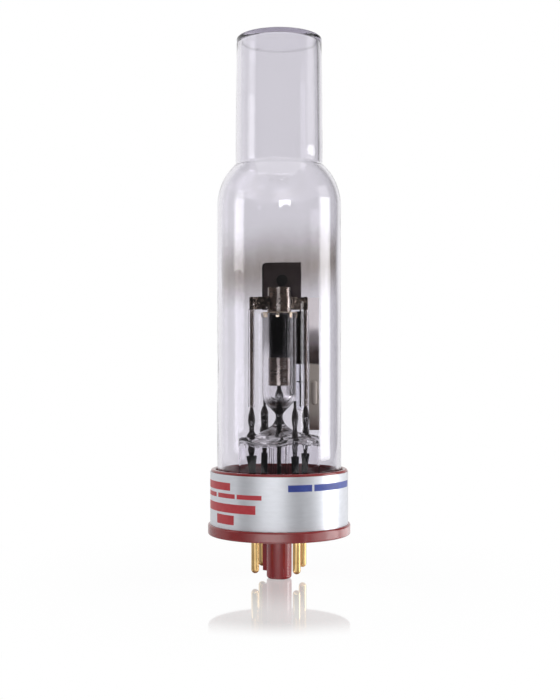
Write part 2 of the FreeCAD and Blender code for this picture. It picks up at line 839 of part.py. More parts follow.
def lead_wires():
    """Each lead goes up through the wafer and slants down to its pin; the
    spare one is cut off inside the base."""
    for index in range(PIN_COUNT):
        knee, end = slanted_run(index)
        top = value("bead_top") if index in SUPPORTING_LEADS else value("stub_height")
        if index == SPARE_LEAD:
            end = down_to(knee, end, value("spare_lead_end"))
        points = [Vector(knee.x, knee.y, top), knee, end]
        name = f"lead_wire_{index + 1}"
        keep(bent_wire(name, "lead_radius", points), name)


def seal_beads():
    """Glass spindles round the leads, above and below the wafer."""
    for index in range(PIN_COUNT):
        name = f"seal_bead_{index + 1}"
        body = turned(name, [
            ("lead_radius", "bead_low"),
            ("bead_end_radius", "bead_low"),
            ("bead_end_radius", "bead_tail_top", "bead_tail_bulge"),
            ("bead_hole_radius", WAFER_LOW),
            ("bead_hole_radius", "wafer_top"),
            ("bead_neck_radius", "bead_neck_height"),
            ("bead_end_radius", "bead_top", "bead_bulge"),
            ("lead_radius", "bead_top"),
        ])
        stand_at(body, "lead_circle_radius", f"(lead_angle + {index * RIGHT_ANGLE})")
        keep(body, name)


def black_sleeves():
    """Black sleeves on the slanted leads, flared at the top."""
    for index in range(PIN_COUNT):
        name = f"black_sleeve_{index + 1}"
        knee, end = slanted_run(index)
        low = value("spare_lead_end") if index == SPARE_LEAD else value(PIN_MOUTH)
        start = down_to(knee, end, low + value("black_sleeve_gap"))
        finish = down_to(knee, end, knee.z - value("black_sleeve_gap"))
        length = (finish - start).Length
        lip = "wide_sleeve_lip" if index == WIDE_LIPPED_LEAD else "black_sleeve_lip"
        body = turned(name, [
            ("lead_radius", "0"),
            ("black_sleeve_radius", "0"),
            ("black_sleeve_radius", f"{length} - lip_taper"),
            (lip, f"{length} - lip_height"),
            (lip, f"{length}"),
            ("lead_radius", f"{length}"),
        ])
        body.Placement = FreeCAD.Placement(start, FreeCAD.Rotation(UP, finish - start))
        keep(body, name)


def support_rods():
    """Two rods from the wafer's beads to the strap, in thin glass sleeves."""
    for index in SUPPORTING_LEADS:
        side = "right" if index == 0 else "left"
        angle = f"(lead_angle + {index * RIGHT_ANGLE})"
        rod = cylinder(f"support_rod_{side}", "rod_radius", "bead_top", f"({STRAP_TOP} + rod_over_strap)")
        stand_at(rod, "lead_circle_radius", angle)
        keep(rod, f"support_rod_{side}")
        sleeve = tube(f"glass_sleeve_{side}", "glass_sleeve_radius", "rod_radius + glass_sleeve_clearance",
                      "bead_top", "(strap_low - glass_sleeve_gap)")
        stand_at(sleeve, "lead_circle_radius", angle)
        keep(sleeve, f"glass_sleeve_{side}")


# Getter and the small closed tube

def getter_strip():
    """A sheet strip hung from the right rod's loop by a tab."""
    right = f"({STRIP_LEFT} + strip_width)"
    body = padded("getter_strip", [
        (STRIP_LEFT, "strip_low"),
        (right, "strip_low"),
        (right, STRAP_TOP),
        (f"{LEAD_X} - strip_tab_reach", STRAP_TOP),
        (f"{LEAD_X} - strip_tab_reach", "strap_low"),
        (STRIP_LEFT, "strap_low"),
    ], "strip_thickness")
    body.setExpression("Placement.Base.y", bound(STRIP_FRONT))
    keep(body, "getter_strip")


def getter_pellet():
    """A half-round bar of getter pressed on the front of the strip."""
    top = "(pellet_low + pellet_height)"
    body = turned("getter_pellet", [
        ("0", "pellet_low"),
        ("pellet_radius", "pellet_low + pellet_radius", "pellet_radius"),
        ("pellet_radius", f"{top} - pellet_radius"),
        ("0", top, "pellet_radius"),
    ], f"{HALF_TURN}")
    body.Placement = turn(HALF_TURN)
    body.setExpression("Placement.Base.x", bound(f"{STRIP_LEFT} + strip_width / 2"))
    body.setExpression("Placement.Base.y", bound(STRIP_FRONT))
    keep(body, "getter_pellet")


def guard_tube():
    """A closed glass tube behind the plate, the wire that it hangs on, and the wire's core."""
    inner = "(guard_radius - guard_wall)"
    body = turned("guard_tube", [
        ("0", "guard_low"),
        ("guard_radius", "guard_low + guard_radius", "guard_radius"),
        ("guard_radius", "guard_top"),
        (inner, "guard_top"),
        (inner, "guard_low + guard_radius"),
        ("0", "guard_low + guard_wall", f"-{inner}"),
    ])
    plate = plate_placement()
    centre = Vector(value("guard_along"), value("guard_back"), 0)
    body.Placement = FreeCAD.Placement(plate.multVec(centre), plate.Rotation)
    keep(body, "guard_tube")
    height = UP * value("guard_wire_height")
    wire = bent_wire("guard_wire_run", "guard_wire_radius", [
        Vector(centre.x, value(PLATE_DEPTH), 0) + height,
        centre + height,
        centre + UP * value(f"guard_low + guard_wall + {inner} - guard_wire_radius"),
    ])
    collar = cylinder("guard_collar", inner, "guard_collar_height",
                      "(guard_collar_height + guard_collar_thickness)")
    collar.Placement.Base = centre
    joined = union("guard_wire", [wire, collar])
    joined.Placement = plate
    keep(joined, "guard_wire")
    core = tube("guard_core", "guard_core_radius", "guard_wire_radius", "guard_core_low",
                "(guard_core_low + guard_core_height)")
    core.Placement = body.Placement
    keep(core, "guard_core")


def build():
    """Make every part of the lamp."""
    base_shell()
    label_band()
    contact_pins()
    basing_cement()
    glass_envelope()
    window_disc()
    stem_glass()
    exhaust_tube()
    cathode_shield_tube()
    cathode_sleeve()
    cathode_cup()
    finger_ring()
    cathode_lead()
    anode_tube()
    support_strap()
    anode_plate()
    lead_wires()
    seal_beads()
    black_sleeves()
    support_rods()
    getter_strip()
    getter_pellet()
    guard_tube()
    doc.recompute()


def check():
    """Stop if an object failed, or if a part isn't one valid solid."""
    for item in doc.Objects:
        if "Invalid" in item.State or "Error" in item.State:
            raise RuntimeError(f"{item.Label} failed: {item.State}")
    for piece in parts:
        if piece.Shape.isNull() or not piece.Shape.isValid() or len(piece.Shape.Solids) != 1:
            raise RuntimeError(f"{piece.Label} isn't one valid solid")


def write():
    """Write each part to a file with its name."""
    os.makedirs("parts", exist_ok=True)
    for piece in parts:
        piece.Shape.exportStep(f"parts/{piece.Label}.step")
        print(f"{piece.Label}: {piece.Shape.Volume:.2f} mm3")


build()
check()
write()
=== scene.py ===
import math

import bpy
from mathutils import Matrix, Vector, noise

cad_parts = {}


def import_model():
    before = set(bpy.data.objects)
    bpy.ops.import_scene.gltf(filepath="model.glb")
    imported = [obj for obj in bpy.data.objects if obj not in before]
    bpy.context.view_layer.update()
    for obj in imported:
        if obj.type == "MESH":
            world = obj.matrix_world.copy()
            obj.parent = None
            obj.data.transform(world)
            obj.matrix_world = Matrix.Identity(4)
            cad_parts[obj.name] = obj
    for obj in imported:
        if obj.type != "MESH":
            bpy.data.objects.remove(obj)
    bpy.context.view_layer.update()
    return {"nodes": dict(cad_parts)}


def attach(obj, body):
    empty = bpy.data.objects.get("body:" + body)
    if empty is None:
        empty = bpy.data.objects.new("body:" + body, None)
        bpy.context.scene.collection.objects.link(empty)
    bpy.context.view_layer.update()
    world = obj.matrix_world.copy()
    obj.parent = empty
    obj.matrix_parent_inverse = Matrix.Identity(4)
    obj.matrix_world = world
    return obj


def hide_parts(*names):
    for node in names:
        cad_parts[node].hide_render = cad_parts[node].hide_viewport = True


# The looks of a hollow cathode lamp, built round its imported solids. Points are
# written in millimetres and turned into metres when a mesh is made.

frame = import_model()

MM = 0.001
TINY = 1e-6
TURN = 2 * math.pi

# Sizes that the solids share, in millimetres
BULB_RADIUS = 18.5
BULB_WALL = 1.3
BULB_FOOT = 5.5
SHOULDER_START = 97.5
SHOULDER_RADIUS = 16.6
SHOULDER_AXIS = BULB_RADIUS - SHOULDER_RADIUS
NECK_RADIUS = 13.05
NECK_TOP_RADIUS = 12.75
NECK_WALL = 1.7
LAMP_TOP = 147.4
WINDOW = 1.3
LEAD_CIRCLE = 9.24
LEAD_ANGLE = 29.4
PIN_CIRCLE = 8.725
PIN_ANGLE = 36.0
STRAP_LOW = 66.8
STRAP_TOP = 70.5
BEAD_TOP = 37.6
PLATE_HALF = 6.0
PLATE_LOW = 66.8
PLATE_TOP = 81.1
PLATE_CORNER = 1.4
PLATE_FOLD = 0.6
PLATE_PLACE = Vector((0.6, 4.817, 0.0))
GUARD_CENTRE = (6.497, 6.890)
FLOOR_LEVEL = -13.4
CAMERA_DISTANCE = 341.0
CAMERA_HEIGHT = 50.4
PLATE_TURN = Matrix.Rotation(math.radians(-9.0), 3, "Z")


def linear(red, green, blue):
    """Return a display colour of 0 to 255 as the linear colour that shaders use."""
    def one(level):
        level /= 255
        return level / 12.92 if level <= 0.04045 else ((level + 0.055) / 1.055) ** 2.4
    return one(red), one(green), one(blue), 1.0


def around(radius, degrees, height=0.0):
    """Return a point on a circle round the lamp's axis."""
    angle = math.radians(degrees)
    return Vector((radius * math.cos(angle), radius * math.sin(angle), height))


def wobble(x, y, z, scale, seed=0.0):
    """Return smooth noise from -1 to 1."""
    return noise.noise(Vector((x * scale + seed, y * scale - seed, z * scale + 2 * seed)))


# Materials

class Nodes:
    """A node tree that is put together step by step."""

    def __init__(self, tree, out):
        self.tree = tree
        self.tree.nodes.clear()
        self.out = self.node(out)

    def node(self, kind, **settings):
        node = self.tree.nodes.new("ShaderNode" + kind)
        for key, setting in settings.items():
            setattr(node, key, setting)
        return node

    def feed(self, socket, source):
        """Link a socket to another one, or set its value."""
        if isinstance(source, bpy.types.NodeSocket):
            self.tree.links.new(source, socket)
        else:
            socket.default_value = source

    def shader(self, kind, **inputs):
        """Return the output of a shader whose inputs are given by name."""
        node = self.node(kind)
        for name, source in inputs.items():
            self.feed(node.inputs[name], source)
        return node.outputs[0]

    def mixed(self, factor, first, second):
        """Return a mix of two shaders."""
        node = self.node("MixShader")
        for socket, source in zip(node.inputs, (factor, first, second)):
            self.feed(socket, source)
        return node.outputs["Shader"]

    def span(self, source, low, high, to_low=0.0, to_high=1.0, smooth=False):
        """Return a value carried from one range to another."""
        carry = self.node("MapRange", interpolation_type="SMOOTHSTEP" if smooth else "LINEAR")
        for name, item in (("Value", source), ("From Min", low), ("From Max", high), ("To Min", to_low),
                           ("To Max", to_high)):
            self.feed(carry.inputs[name], item)
        return carry.outputs["Result"]

    def math(self, operation, first, *others):
        """Return an operation on two values, carried on over any others."""
        for other in others:
            node = self.node("Math", operation=operation)
            self.feed(node.inputs[0], first)
            self.feed(node.inputs[1], other)
            first = node.outputs["Value"]
        return first


class Finish(Nodes):
    """A material, with a principled shader as its main one where it has one."""

    def __init__(self, name):
        self.material = bpy.data.materials.new(name)
        self.material.use_nodes = True
        super().__init__(self.material.node_tree, "OutputMaterial")
        self.main = None

    def principled(self, **inputs):
        self.main = self.node("BsdfPrincipled")
        self.set(**inputs)
        self.feed(self.out.inputs["Surface"], self.main.outputs["BSDF"])

    def set(self, **inputs):
        """Feed inputs of the main shader, named with _ for a space."""
        for key, source in inputs.items():
            self.feed(self.main.inputs[key.replace("_", " ")], source)

    def turned_lines(self):
        """Run the shader's lines round the lamp's axis."""
        self.set(Tangent=self.node("Tangent", direction_type="RADIAL", axis="Z").outputs["Tangent"])

    def place(self, stretch=(1.0, 1.0, 1.0)):
        """Return object coordinates, in millimetres, stretched along the axes."""
        scale = self.node("Mapping")
        scale.inputs["Scale"].default_value = [part / MM for part in stretch]
        self.feed(scale.inputs["Vector"], self.node("TexCoord").outputs["Object"])
        return scale.outputs["Vector"]

    def axes(self):
        """Return the X, Y and Z of a place, in millimetres."""
        parts = self.node("SeparateXYZ")
        self.feed(parts.inputs["Vector"], self.place())
        return parts.outputs

    def reach(self, centre=(0.0, 0.0)):
        """Return the distance from an upright line, in millimetres."""
        away = self.node("VectorMath", operation="DISTANCE")
        self.feed(away.inputs[0], self.place((1.0, 1.0, 0.0)))
        away.inputs[1].default_value = (*centre, 0.0)
        return away.outputs["Value"]

    def bearing(self):
        """Return the bearing round the axis from 0 to 1: the front is 0.5, the right 0.75."""
        axes = self.axes()
        angle = self.math("ARCTAN2", axes["X"], self.math("MULTIPLY", axes["Y"], -1.0))
        return self.span(angle, -math.pi, math.pi)

    def grain(self, scale, detail=3.0, stretch=(1.0, 1.0, 1.0), rough=0.5):
        """Return noise of so many waves a millimetre."""
        texture = self.node("TexNoise")
        for name, source in (("Scale", scale), ("Detail", detail), ("Roughness", rough),
                             ("Vector", self.place(stretch))):
            self.feed(texture.inputs[name], source)
        return texture.outputs["Fac"]

    def drift(self, low, high, scale, detail=3.0, stretch=(1.0, 1.0, 1.0)):
        """Return noise that runs between two values."""
        return self.span(self.grain(scale, detail, stretch), 0.3, 0.7, low, high)

    def ramp(self, source, stops):
        """Return a colour ramp over a value; a stop is (place, colour)."""
        ramp = self.node("ValToRGB")
        points = ramp.color_ramp.elements
        while len(points) < len(stops):
            points.new(0.5)
        for point, (place, colour) in zip(points, stops):
            point.position = place
            point.color = colour
        self.feed(ramp.inputs["Fac"], source)
        return ramp.outputs["Color"]

    def tones(self, source, stops):
        """Return a ramp of display colours."""
        return self.ramp(source, [(place, linear(*colour)) for place, colour in stops])

    def mix(self, factor, first, second):
        """Return a mix of two colours."""
        node = self.node("Mix", data_type="RGBA")
        for number, source in ((0, factor), (6, first), (7, second)):
            self.feed(node.inputs[number], source)
        return node.outputs[2]

    def height(self, source, strength, distance):
        """Drive the normal by a height in millimetres."""
        bump = self.node("Bump")
        for name, item in (("Strength", strength), ("Distance", distance * MM), ("Height", source)):
            self.feed(bump.inputs[name], item)
        self.set(Normal=bump.outputs["Normal"])

    def skin(self, lines, rough, strength, dent):
        """Let the same noise vary the polish and dent the surface."""
        self.set(Roughness=self.span(lines, 0.3, 0.7, *rough))
        self.height(lines, strength, dent)


def film(finish):
    """Return how much of the getter's film lies on the bulb's inner wall."""
    axes = finish.axes()
    slant = finish.math("MULTIPLY", axes["X"], -0.105)
    level = finish.math("ADD", axes["Z"], slant, finish.drift(-1.5, 1.5, 0.06, 2.0))
    rise = finish.span(level, 66.0, 79.0, smooth=True)
    fall = finish.span(level, 78.5, 94.0, 1.0, 0.0, smooth=True)
    streak = finish.drift(0.85, 1.0, 0.5, 4.0, (1.0, 1.0, 0.12))
    inside = finish.math("LESS_THAN", finish.reach(), BULB_RADIUS - BULB_WALL / 2)
    return finish.math("MULTIPLY", rise, fall, streak, inside)


def stain_and_shade(finish):
    """Return how dark the stem is: painted shade round its column's base and on the tube's right side, and darker
    towards the tube's mouth.
    """
    axes = finish.axes()
    near = finish.span(finish.reach(), 5.2, 9.0, 1.0, 0.0, smooth=True)
    low = finish.span(axes["Z"], 38.4, 40.4, 1.0, 0.0, smooth=True)
    streak = finish.span(finish.grain(0.4, 3.0, (1.0, 1.0, 0.6)), 0.36, 0.62, 0.65, 1.0)
    # Painted shade: the darkening at the column's base and on the right side stands in for the dark seen through the
    # glass there.
    foot_shade = finish.math("MULTIPLY", near, low, streak)
    mouth = finish.span(axes["Z"], 51.0, 59.0, 0.0, 0.62, smooth=True)
    side = finish.span(axes["X"], 2.6, 3.8, 0.0, 0.8, smooth=True)
    return finish.math("MAXIMUM", foot_shade, mouth, finish.math("MULTIPLY", side, finish.span(axes["Z"], 40.4, 41.4)))


def horizon_shade(finish):
    """Return how dark the guard tube's glass is: clear below, dark from about 50 mm up round its core, a painted
    reflection of the dim room.
    """
    return finish.span(finish.axes()["Z"], 50.2, 50.6, 0.0, 0.97)


def glass(name, tint, coat=None, shade=None, wave=0.0, density=0.0, index=1.48):
    """Clear glass that lets the lamps' light through to what is behind it. A coat
    says how much of the glass takes the shade; a density fills it with a tint."""
    finish = Finish(name)
    finish.principled(Base_Color=tint, Roughness=0.0, IOR=index, Transmission_Weight=1.0)
    if coat:
        finish.set(Base_Color=finish.mix(coat(finish), tint, shade))
    if wave:
        finish.height(finish.grain(0.25, 2.0, (1.0, 1.0, 0.25)), 1.0, wave)
    clear = finish.shader("BsdfTransparent", Color=tint)
    rays = finish.node("LightPath").outputs
    surface = finish.main.outputs["BSDF"]
    for kind in ("Is Diffuse Ray", "Is Shadow Ray"):
        surface = finish.mixed(rays[kind], surface, clear)
    finish.feed(finish.out.inputs["Surface"], surface)
    if density:
        body = finish.shader("VolumeAbsorption", Color=(0.5, 0.46, 0.56, 1.0), Density=density)
        finish.feed(finish.out.inputs["Volume"], body)
    return finish.material


def metal(name, dark, light, rough, scale=2.0, dent=0.01, metallic=1.0, detail=3.0):
    """Metal whose colour and polish vary, with fine dents."""
    finish = Finish(name)
    finish.principled(Metallic=metallic)
    patches = finish.math("MULTIPLY", finish.grain(scale * 0.3), 0.6)
    lines = finish.grain(scale, detail)
    blend = finish.math("ADD", patches, finish.math("MULTIPLY", lines, 0.4))
    finish.set(Base_Color=finish.tones(blend, [(0.35, dark), (0.65, light)]))
    finish.skin(lines, rough, 0.6, dent)
    return finish.material


def drawn(name, base, painted_highlight, rough):
    """Drawn nickel: lines round the tube, and bright bands along it that are painted highlights at the lamps'
    bearings.
    """
    finish = Finish(name)
    finish.principled(Metallic=1.0, Anisotropic=0.8, Anisotropic_Rotation=0.25)
    finish.turned_lines()
    share = finish.math("ADD", finish.bearing(), finish.drift(-0.006, 0.006, 0.3, 2.0))
    # Painted highlights: bright colour at fixed bearings round the tube stands in for the lamps' glints.
    highlight_stops = [(0.0, base), (0.1, painted_highlight), (0.13, base), (0.27, base), (0.29, painted_highlight), (0.33, base), (0.462, base),
               (0.478, painted_highlight), (0.5, painted_highlight), (0.518, base), (0.62, base), (0.66, painted_highlight), (0.7, base), (0.84, base),
               (0.87, painted_highlight), (0.9, base)]
    faded = linear(*(level * 0.8 for level in base))
    finish.set(Base_Color=finish.mix(finish.drift(0.0, 0.35, 0.6), finish.tones(share, highlight_stops), faded))
    finish.skin(finish.grain(1.5, 2.0, (0.3, 0.3, 1.0)), rough, 0.3, 0.001)
    return finish.material


def plastic(name, dark, light, rough, bump_scale, bump, index=1.5, under=None):
    """Moulded plastic or cement with faint mottling, and another colour low down that is painted light on the
    underside.
    """
    finish = Finish(name)
    finish.principled(IOR=index)
    tone = finish.tones(finish.grain(0.35, 5.0, rough=0.6), [(0.35, dark), (0.65, light)])
    # Painted light: the lighter colour low down stands in for light on the underside.
    if under:
        low = finish.span(finish.axes()["Z"], -1.5, 0.4, 0.85, 0.0, smooth=True)
        tone = finish.mix(low, tone, linear(*under))
    finish.set(Base_Color=tone)
    finish.skin(finish.grain(bump_scale, 4.0), rough, 0.5, bump)
    return finish.material


def foil(name):
    """Satin metal foil with fine lines round the band."""
    finish = Finish(name)
    finish.principled(Metallic=0.85, Anisotropic=0.85, Anisotropic_Rotation=0.25)
    finish.turned_lines()
    lines = finish.grain(1.0, 3.0, (0.3, 0.3, 1.0))
    finish.set(Base_Color=finish.tones(lines, [(0.3, (222, 224, 230)), (0.7, (230, 232, 238))]))
    finish.skin(lines, (0.5, 0.55), 0.2, 0.002)
    return finish.material


def painted_reflection_sheet(name):
    """Sheet metal whose colour is a painted reflection: a ramp up its height with a sharp dark step just above 50 mm,
    and a painted pale glow at its top.
    """
    finish = Finish(name)
    finish.principled(Metallic=0.1, Emission_Color=(1.0, 0.95, 0.93, 1.0))
    level = finish.math("ADD", finish.axes()["Z"], finish.drift(-0.6, 0.6, 0.3))
    # Painted reflection of the room, by height; the emission at the top is a painted glow, not a lamp.
    stops = [(0.0, (120, 98, 84)), (0.16, (206, 198, 180)), (0.5, (226, 218, 198)), (0.512, (76, 62, 55)),
             (0.6, (88, 74, 67)), (0.7, (196, 188, 184)), (0.78, (255, 250, 246)), (1.0, (255, 250, 246))]
    finish.set(Base_Color=finish.tones(finish.span(level, 30.0, 70.0), stops),
               Emission_Strength=finish.span(level, 59.5, 63.0, 0.0, 0.38, smooth=True))
    finish.skin(finish.grain(0.8, 3.0, (1.0, 1.0, 0.3)), (0.3, 0.4), 0.3, 0.004)
    return finish.material


CLEAR = (0.868, 0.857, 0.892, 1.0)
FINISHES = {
    "bulb": glass("bulb_glass", CLEAR, film, (0.36, 0.323, 0.293, 1.0), wave=0.03, density=70.0),
    # The stem's coat is painted shade at the column's base and the tube's right side, and darkens towards the tube's
    # mouth.
    "stem": glass("stem_glass", (0.95, 0.94, 0.95, 1.0), stain_and_shade, (0.03, 0.02, 0.016, 1.0), wave=0.02),
    "skirt": glass("skirt_glass", (0.93, 0.92, 0.94, 1.0), index=1.08),
    "tube": glass("tube_glass", (0.95, 0.94, 0.95, 1.0), wave=0.02),
    # The guard tube's dark glass above 50 mm is a painted reflection of the dim room.
    "horizon_shaded": glass("horizon_shaded_glass", (0.9, 0.9, 0.93, 1.0), horizon_shade, (0.06, 0.045, 0.04, 1.0), wave=0.02),
    # The red's lighter colour low down is painted light on the flange's underside.
    "red": plastic("red_plastic", (142, 25, 29), (152, 33, 36), (0.14, 0.2), 4.0, 0.004, index=1.6,
                   under=(180, 56, 62)),
    "cement": plastic("red_cement", (132, 58, 60), (176, 90, 90), (0.55, 0.75), 1.6, 0.12),
    "gold": metal("gold_plate", (206, 168, 110), (224, 192, 136), (0.06, 0.1), 1.0, dent=0.002),
    # The nickel's bright second colour is painted in as highlights along the tube.
    "nickel": drawn("aged_nickel", (104, 91, 82), (250, 242, 232), (0.26, 0.31)),
    "rod": metal("rod_nickel", (108, 98, 90), (126, 114, 104), (0.28, 0.31), 0.3, dent=0.0001, detail=1.0),
    "bright": metal("bright_nickel", (192, 172, 146), (240, 228, 208), (0.15, 0.3), 3.0),
    "cathode": metal("black_cathode", (12, 12, 16), (28, 26, 28), (0.05, 0.1), 0.4, dent=0.0005, metallic=0.5),
    "strap": metal("dark_strap", (62, 55, 49), (104, 94, 84), (0.2, 0.3), 0.9, dent=0.09, detail=0.5),
    "plate": metal("dark_plate", (68, 58, 57), (84, 74, 72), (0.4, 0.5), 0.5, dent=0.002, metallic=0.4),
    # The back leaf's near-black is painted shade: the leaf lies in shadow behind the hole.
    "shaded_leaf": metal("plate_back", (12, 9, 10), (22, 18, 18), (0.5, 0.6), 0.8, dent=0.002, metallic=0.0),
    "wire": metal("dark_wire", (36, 35, 36), (66, 62, 60), (0.25, 0.4), 3.0),
    "bead": metal("dark_bead", (24, 22, 22), (56, 48, 44), (0.08, 0.2), 1.2, dent=0.08, metallic=0.0),
    "core": metal("dark_core", (52, 38, 30), (78, 58, 46), (0.3, 0.45), 1.0, dent=0.01, metallic=0.2),
    "sleeve": plastic("black_sleeve", (14, 14, 17), (25, 25, 28), (0.5, 0.7), 5.0, 0.03, index=1.25),
    "weld": metal("weld_spot", (190, 186, 180), (238, 234, 228), (0.12, 0.25), 4.0),
    "print_red": plastic("print_red", (196, 52, 62), (206, 66, 74), (0.35, 0.5), 5.0, 0.005),
    "print_blue": plastic("print_blue", (44, 62, 150), (58, 80, 170), (0.35, 0.5), 5.0, 0.005),
    "foil": foil("label_foil"),
    # The getter's colour ramp is a painted reflection, with a painted glow at its top.
    "getter": painted_reflection_sheet("getter_metal"),
}


# Meshes

def piece(name, shape, finish, replaced=(), sharp=35.0, warp=None):
    """Make a mesh piece of the lamp from (points, faces), the points in millimetres."""
    points, faces = shape
    if warp:
        points = [warp(*point) for point in points]
    mesh = bpy.data.meshes.new(name)
    mesh.from_pydata([[part * MM for part in point] for point in points], [], faces)
    mesh.materials.append(FINISHES[finish])
    mesh.polygons.foreach_set("use_smooth", [True] * len(mesh.polygons))
    mesh.set_sharp_from_angle(angle=math.radians(sharp))
    mesh.validate()
    item = bpy.data.objects.new(name, mesh)
    bpy.context.scene.collection.objects.link(item)
    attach(item, "root")
    if replaced:
        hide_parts(*replaced)
    return item


def lathe(profile, steps=96, centre=(0.0, 0.0), closed=True):
    """Turn (radius, height) points about an upright line, solid to the left of the way travelled."""
    points, rings = [], []
    for radius, height in profile:
        count = 1 if radius < TINY else steps
        rings.append([len(points) + index for index in range(count)])
        for index in range(count):
            angle = TURN * index / steps
            points.append((centre[0] + radius * math.cos(angle), centre[1] + radius * math.sin(angle), height))
    pairs = list(zip(rings, rings[1:]))
    if closed:
        pairs.append((rings[-1], rings[0]))
    faces = []
    for low, high in pairs:
        if len(low) == len(high) == 1:
            continue
        for index in range(steps):
            after = (index + 1) % steps
            if len(low) == 1:
                faces.append((low[0], high[after], high[index]))
            elif len(high) == 1:
                faces.append((low[index], low[after], high[0]))
            else:
                faces.append((low[index], low[after], high[after], high[index]))
    return points, faces


def arc(centre, radius, start, end, steps):
    """Return points on an arc, angles in degrees from the radius axis."""
    angles = [math.radians(start + (end - start) * index / steps) for index in range(steps + 1)]
    return [(centre[0] + radius * math.cos(angle), centre[1] + radius * math.sin(angle)) for angle in angles]


def bend(before, here, after, radius, steps):
    """Return points of a short curve in place of a corner."""
    size = min(radius, (before - here).length * 0.45, (after - here).length * 0.45)
    first = here + (before - here).normalized() * size
    last = here + (after - here).normalized() * size
    shares = [step / steps for step in range(steps + 1)]
    return [first * (1 - share) ** 2 + here * 2 * share * (1 - share) + last * share ** 2 for share in shares]


def rounded(corners, radius, steps=4, closed=True):
    """Round the corners of an outline with short curves."""
    result = []
    count = len(corners)
    for index, corner in enumerate(corners):
        if not closed and index in (0, count - 1):
            result.append(corner)
            continue
        before, after = Vector(corners[index - 1]), Vector(corners[(index + 1) % count])
        result += [tuple(point) for point in bend(before, Vector(corner), after, radius, steps)]
    return result


def divided(profile, longest):
    """Add points so that no run of the outline is longer than so many millimetres."""
    result = [profile[0]]
    for start, end in zip(profile, profile[1:]):
        count = max(1, math.ceil(math.dist(start, end) / longest))
        for index in range(1, count + 1):
            share = index / count
            result.append(tuple(a + (b - a) * share for a, b in zip(start, end)))
    return result


def sweep(route, radii, steps=16):
    """Carry a circle along a route of points; radii is one number or one for each point."""
    route = [Vector(point) for point in route]
    if isinstance(radii, (int, float)):
        radii = [radii] * len(route)
    ways = [(after - before).normalized() for before, after in zip(route, route[1:])]
    ways = [ways[0]] + [(a + b).normalized() for a, b in zip(ways, ways[1:])] + [ways[-1]]
    side = ways[0].orthogonal().normalized()
    points, faces = [], []
    for point, way, radius in zip(route, ways, radii):
        side = (side - way * side.dot(way)).normalized()
        other = way.cross(side)
        for index in range(steps):
            angle = TURN * index / steps
            points.append(tuple(point + side * radius * math.cos(angle) + other * radius * math.sin(angle)))
    for ring in range(len(route) - 1):
        for index in range(steps):
            after = (index + 1) % steps
            low, high = ring * steps, (ring + 1) * steps
            faces.append((low + index, low + after, high + after, high + index))
    faces.append(tuple(reversed(range(steps))))
    faces.append(tuple(range((len(route) - 1) * steps, len(route) * steps)))
    return points, faces


def curved(route, reach, steps=6):
    """Round the bends of a route of points in space."""
    route = [Vector(point) for point in route]
    result = [route[0]]
    for before, here, after in zip(route, route[1:], route[2:]):
        result += bend(before, here, after, reach, steps)
    result.append(route[-1])
    return result


def slab(columns, rows, surface, front, back):
    """Make a sheet between two depths of surface(column share, row share, depth)."""
    points, faces = [], []
    for depth in (front, back):
        for row in range(rows + 1):
            for column in range(columns + 1):
                points.append(tuple(surface(column / columns, row / rows, depth)))
    wide = columns + 1
    size = wide * (rows + 1)
    for row in range(rows):
        for column in range(columns):
            corner = row * wide + column
            faces.append((corner, corner + 1, corner + wide + 1, corner + wide))
            corner += size
            faces.append((corner, corner + wide, corner + wide + 1, corner + 1))
    border = list(range(wide))
    border += [row * wide + columns for row in range(1, rows + 1)]
    border += [rows * wide + column for column in range(columns - 1, -1, -1)]
    border += [row * wide for row in range(rows - 1, 0, -1)]
    for start, end in zip(border, border[1:] + border[:1]):
        faces.append((start, start + size, end + size, end))
    return points, faces


def joined(*shapes):
    """Join several (points, faces) shapes into one."""
    points, faces = [], []
    for shape in shapes:
        offset = len(points)
        points += shape[0]
        faces += [tuple(index + offset for index in face) for face in shape[1]]
    return points, faces


# Bulb

def blown(x, y, z):
    """Give blown glass its faint waves, strongest where the neck was joined."""
    radius = math.hypot(x, y)
    if radius < TINY:
        return x, y, z
    joint = math.exp(-((z - 108.0) / 6.0) ** 2)
    shift = -0.05 - 0.05 * wobble(x, y, z, 0.05) - joint * (0.06 + 0.1 * wobble(x, y, z, 0.11, 4.0))
    scale = 1 + shift / radius
    return x * scale, y * scale, z


def inset(profile, depth):
    """Return the outline moved to its left by so many millimetres."""
    result = []
    for index, point in enumerate(profile):
        before = Vector(profile[max(index - 1, 0)])
        after = Vector(profile[min(index + 1, len(profile) - 1)])
        way = (after - before).normalized()
        result.append((point[0] - way.y * depth, point[1] + way.x * depth))
    return result


